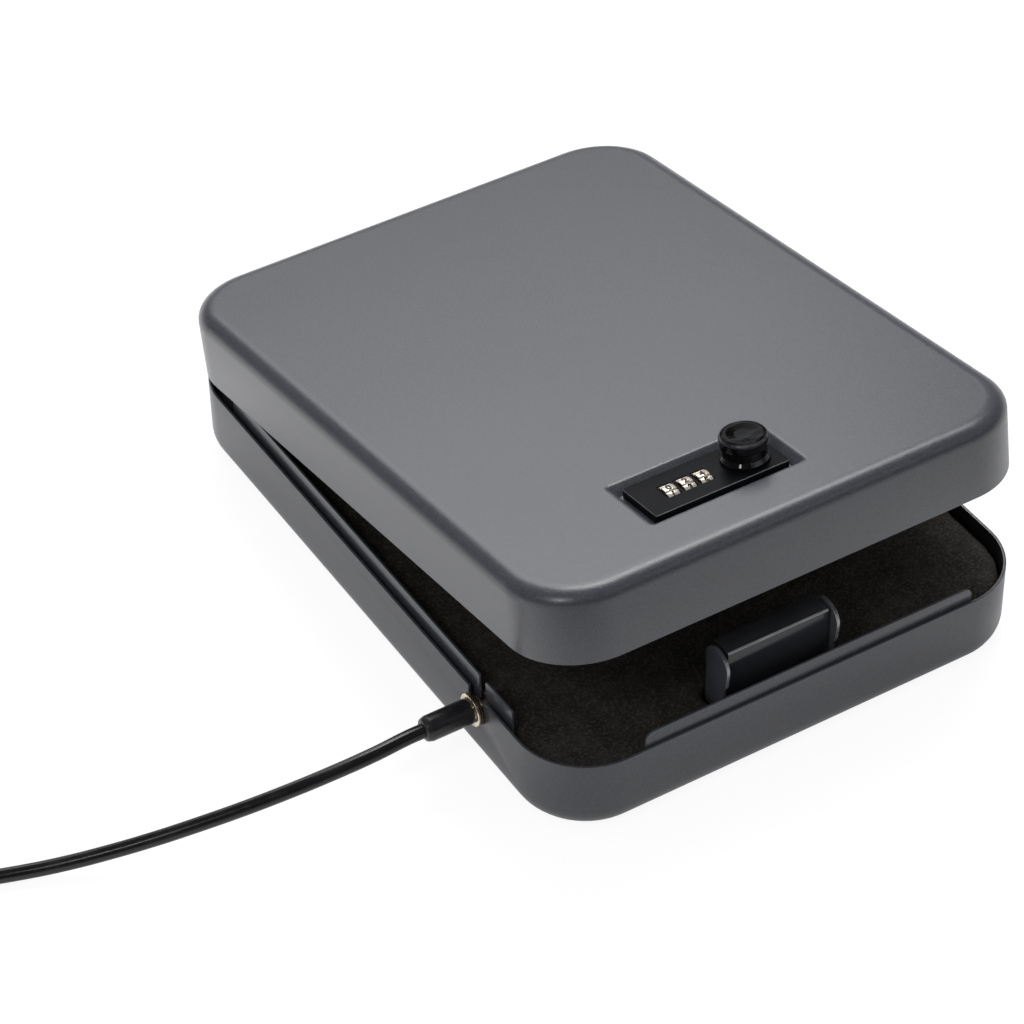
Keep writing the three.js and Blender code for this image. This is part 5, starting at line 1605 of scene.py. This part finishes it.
def faceplate(black, edge_highlight):
    """The plate with three slots for the dials and a hole for the spindle, thin over the dials."""
    plate = mesh_object("faceplate", loft(plate_rings()), black)
    relief = block(
        DIAL_MIDDLE - WELL_HALF_X, DIAL_MIDDLE + WELL_HALF_X,
        LOCK_Y - WELL_HALF_Y, LOCK_Y + WELL_HALF_Y,
        PLATE_BOTTOM - 1, PLATE_TOP - PLATE_SKIN,
    )
    cut(plate, relief)
    slots = []
    for index in range(len(DIAL_NAMES)):
        start = dial_x(index) - SLOT_HALF_WIDTH
        end = dial_x(index) + SLOT_HALF_WIDTH
        centre = (0, LOCK_Y, DIAL_Z)
        slots.append(bar("x", centre, DIAL_RADIUS + DIAL_GAP, start, end, ROUND_STEPS))
    bore = SPINDLE_RADIUS + CLEARANCE
    hole = bar("z", (KNOB_X, LOCK_Y, 0), bore, PLATE_BOTTOM - 1, PLATE_TOP + 1)
    cut(plate, *slots, hole)
    edge_x = LOCK_X - PLATE_HALF_X + PLATE_EDGE
    edge_y = LOCK_Y - PLATE_HALF_Y + PLATE_EDGE
    # Painted highlight along the plate's eased edge, on its left and front sides only.
    refinished(plate, edge_highlight, lambda middle, normal: (
        0.2 < normal.z < 0.97 and (middle.x < edge_x or middle.y < edge_y)
    ))
    fitted(smooth(plate), "lid", ["lock_faceplate"])


def dial_section():
    """A number wheel's edge: a nearly flat facet for each digit, with a rounded groove between.

    Each share of the way from a groove to the next has a depth under the full radius.
    """
    facet = [
        (0, 0.55), (0.05, 0.5), (0.1, 0.12), (0.16, 0), (0.33, 0.06),
        (0.5, 0.08), (0.67, 0.06), (0.84, 0), (0.9, 0.12), (0.95, 0.5),
    ]
    outline = []
    for digit in range(DIAL_DIGITS):
        for share, depth in facet:
            angle = (digit + share) * 2 * math.pi / DIAL_DIGITS
            radius = DIAL_RADIUS - depth
            outline.append((LOCK_Y + radius * math.cos(angle), DIAL_Z + radius * math.sin(angle)))
    return outline


def digit_mesh(digit):
    """A numeral as a closed mesh in metres, centred on the origin and facing up."""
    curve = bpy.data.curves.new("numeral", "FONT")
    curve.body = str(digit)
    curve.size = DIGIT_SIZE * MM
    curve.extrude = DIGIT_DEPTH / 2 * MM
    curve.offset = DIGIT_WEIGHT * DIGIT_SIZE * MM
    curve.align_x = "CENTER"
    curve.align_y = "CENTER"
    numeral = linked("numeral", curve)
    mesh = baked(numeral)
    bpy.data.objects.remove(numeral)
    return mesh


def dial_numerals(index, ink):
    """All digits round a wheel. The first dial shows 0, the second 2 and the third 4."""
    axle = Matrix.Translation((dial_x(index) * MM, LOCK_Y * MM, DIAL_Z * MM))
    up = Matrix.Translation((0, 0, (DIAL_RADIUS - DIGIT_SINK) * MM))
    marks = bmesh.new()
    for digit in range(DIAL_DIGITS):
        turn = (digit - 2 * index) * 2 * math.pi / DIAL_DIGITS
        mesh = digit_mesh(digit)
        mesh.transform(axle @ Matrix.Rotation(turn, 4, "X") @ up)
        marks.from_mesh(mesh)
        bpy.data.meshes.remove(mesh)
    name = DIAL_NAMES[index]
    numerals = bpy.data.meshes.new(name + "_numerals")
    marks.to_mesh(numerals)
    marks.free()
    numerals.materials.clear()
    numerals.materials.append(ink)
    fitted(linked(name + "_numerals", numerals), name, [])


def dial(index, nickel, ink, side_shade):
    """A number wheel with dull sides painted dark as shade, on a bore for its axle."""
    x = dial_x(index)
    name = DIAL_NAMES[index]
    half = DIAL_WIDTH / 2
    wheel = mesh_object(name, prism(dial_section(), "x", x - half, x + half), nickel)
    bore = SHAFT_RADIUS + CLEARANCE
    cut(wheel, bar("x", (0, LOCK_Y, DIAL_Z), bore, x - DIAL_WIDTH, x + DIAL_WIDTH))
    eased(wheel, 0.25, angle=60)
    # Painted shade on both sides of the wheel.
    refinished(wheel, side_shade, lambda middle, normal: abs(normal.x) > 0.9)
    fitted(smooth(wheel), name, [f"dial_{index + 1}"])
    dial_numerals(index, ink)


def knob(gloss, face, rim_sheen):
    """A dished cap, a waist and a skirt that slopes out to the plate. The chamfer and the skirt's
    front are made paler as painted highlight, and the top has painted reflections.
    """
    bore = SPINDLE_RADIUS + CLEARANCE
    profile = rounded([
        (0, SPINDLE_TOP + CLEARANCE),
        (bore, SPINDLE_TOP + CLEARANCE),
        (bore, KNOB_BOTTOM),
        (KNOB_SKIRT_RADIUS, KNOB_BOTTOM, 0.3),
        (KNOB_SKIRT_RADIUS, KNOB_BOTTOM + 1, 0.7),
        (KNOB_WAIST_RADIUS, KNOB_WAIST_LOW - 0.2, 0.4),
        (KNOB_WAIST_RADIUS, KNOB_WAIST_HIGH - 0.3, 0.4),
        (KNOB_CAP_RADIUS, KNOB_WAIST_HIGH + 0.4, 0.4),
        (KNOB_CAP_RADIUS, KNOB_TOP - 0.05, 1.9),
        (6.4, KNOB_TOP - 0.15, 1),
        (3.5, KNOB_TOP - KNOB_DISH + 0.05, 3),
        (0, KNOB_TOP - KNOB_DISH),
    ])
    shape = turned(profile, "z", (KNOB_X, LOCK_Y, 0), steps=KNOB_STEPS)
    cap = mesh_object("knob_cap", shape, gloss)

    def on_chamfer(middle, normal):
        return middle.z > KNOB_TOP - 2.5 and 0.3 < normal.z < 0.85

    def on_front_of_skirt(middle, normal):
        in_front = -3 < middle.x - KNOB_X < 6 and middle.y < LOCK_Y - 6
        return in_front and middle.z < KNOB_WAIST_LOW and normal.z > 0.3

    # Painted reflections: the top takes the face colour with its pale patches.
    refinished(cap, face, lambda middle, normal: middle.z > KNOB_TOP - 2 and normal.z >= 0.85)
    # Painted highlight: the chamfer all round and the front of the skirt take the paler rim colour.
    refinished(cap, rim_sheen, lambda middle, normal: (
        on_chamfer(middle, normal) or on_front_of_skirt(middle, normal)
    ))
    fitted(smooth(cap), "knob_and_cam", ["knob"])


def repaint(material, *nodes):
    """Gives solids that stay as they are another finish."""
    for node in nodes:
        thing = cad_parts[node]
        thing.data.materials.clear()
        thing.data.materials.append(material)


# The whole safe

def build():
    photograph_camera()
    studio_light()
    studio_world()
    pale_floor()
    cable(black_vinyl(), pressed_aluminium())
    brass_fitting(turned_brass())
    brass_washer(dark_brass())
    vinyl_sleeve(sleeve_vinyl())
    paint = powder_coat()
    foam = open_cell_foam()
    black = black_coat("black_satin_coat", 0.029)
    # Painted light: the cheeks get a paler copy of the same black coat, for the light that falls on
    # them.
    pale_black = black_coat("cheek_satin_coat", 0.08)
    zinc = zinc_plate()
    row = row_tree()
    skin = foam_tree()
    base_shell(paint, inside_coat())
    lips(paint)
    base_foam(foam, skin)
    strike(black, pale_black, rubbed_edge("rubbed_strike_edge", 0.28))
    strike_rivets(zinc, row)
    hinge(black, zinc, row)
    lid_shell(paint)
    lid_foam(foam, skin)
    faceplate(plate_black(), rubbed_edge("rubbed_plate_edge", 0.1))
    nickel = dial_nickel()
    ink = digit_ink()
    side_shade = dial_grime()
    for index in range(len(DIAL_NAMES)):
        dial(index, nickel, ink, side_shade)
    knob(knob_gloss(), knob_face(), knob_rim())
    repaint(
        zinc, "lock_body", "lock_backplate", "lock_screw_1", "lock_screw_2", "dial_shaft",
        "dial_detent_spring", "knob_spindle", "lock_cam", "cam_washer", "cam_screw",
    )


build()
bpy.context.scene.view_settings.view_transform = "Standard"
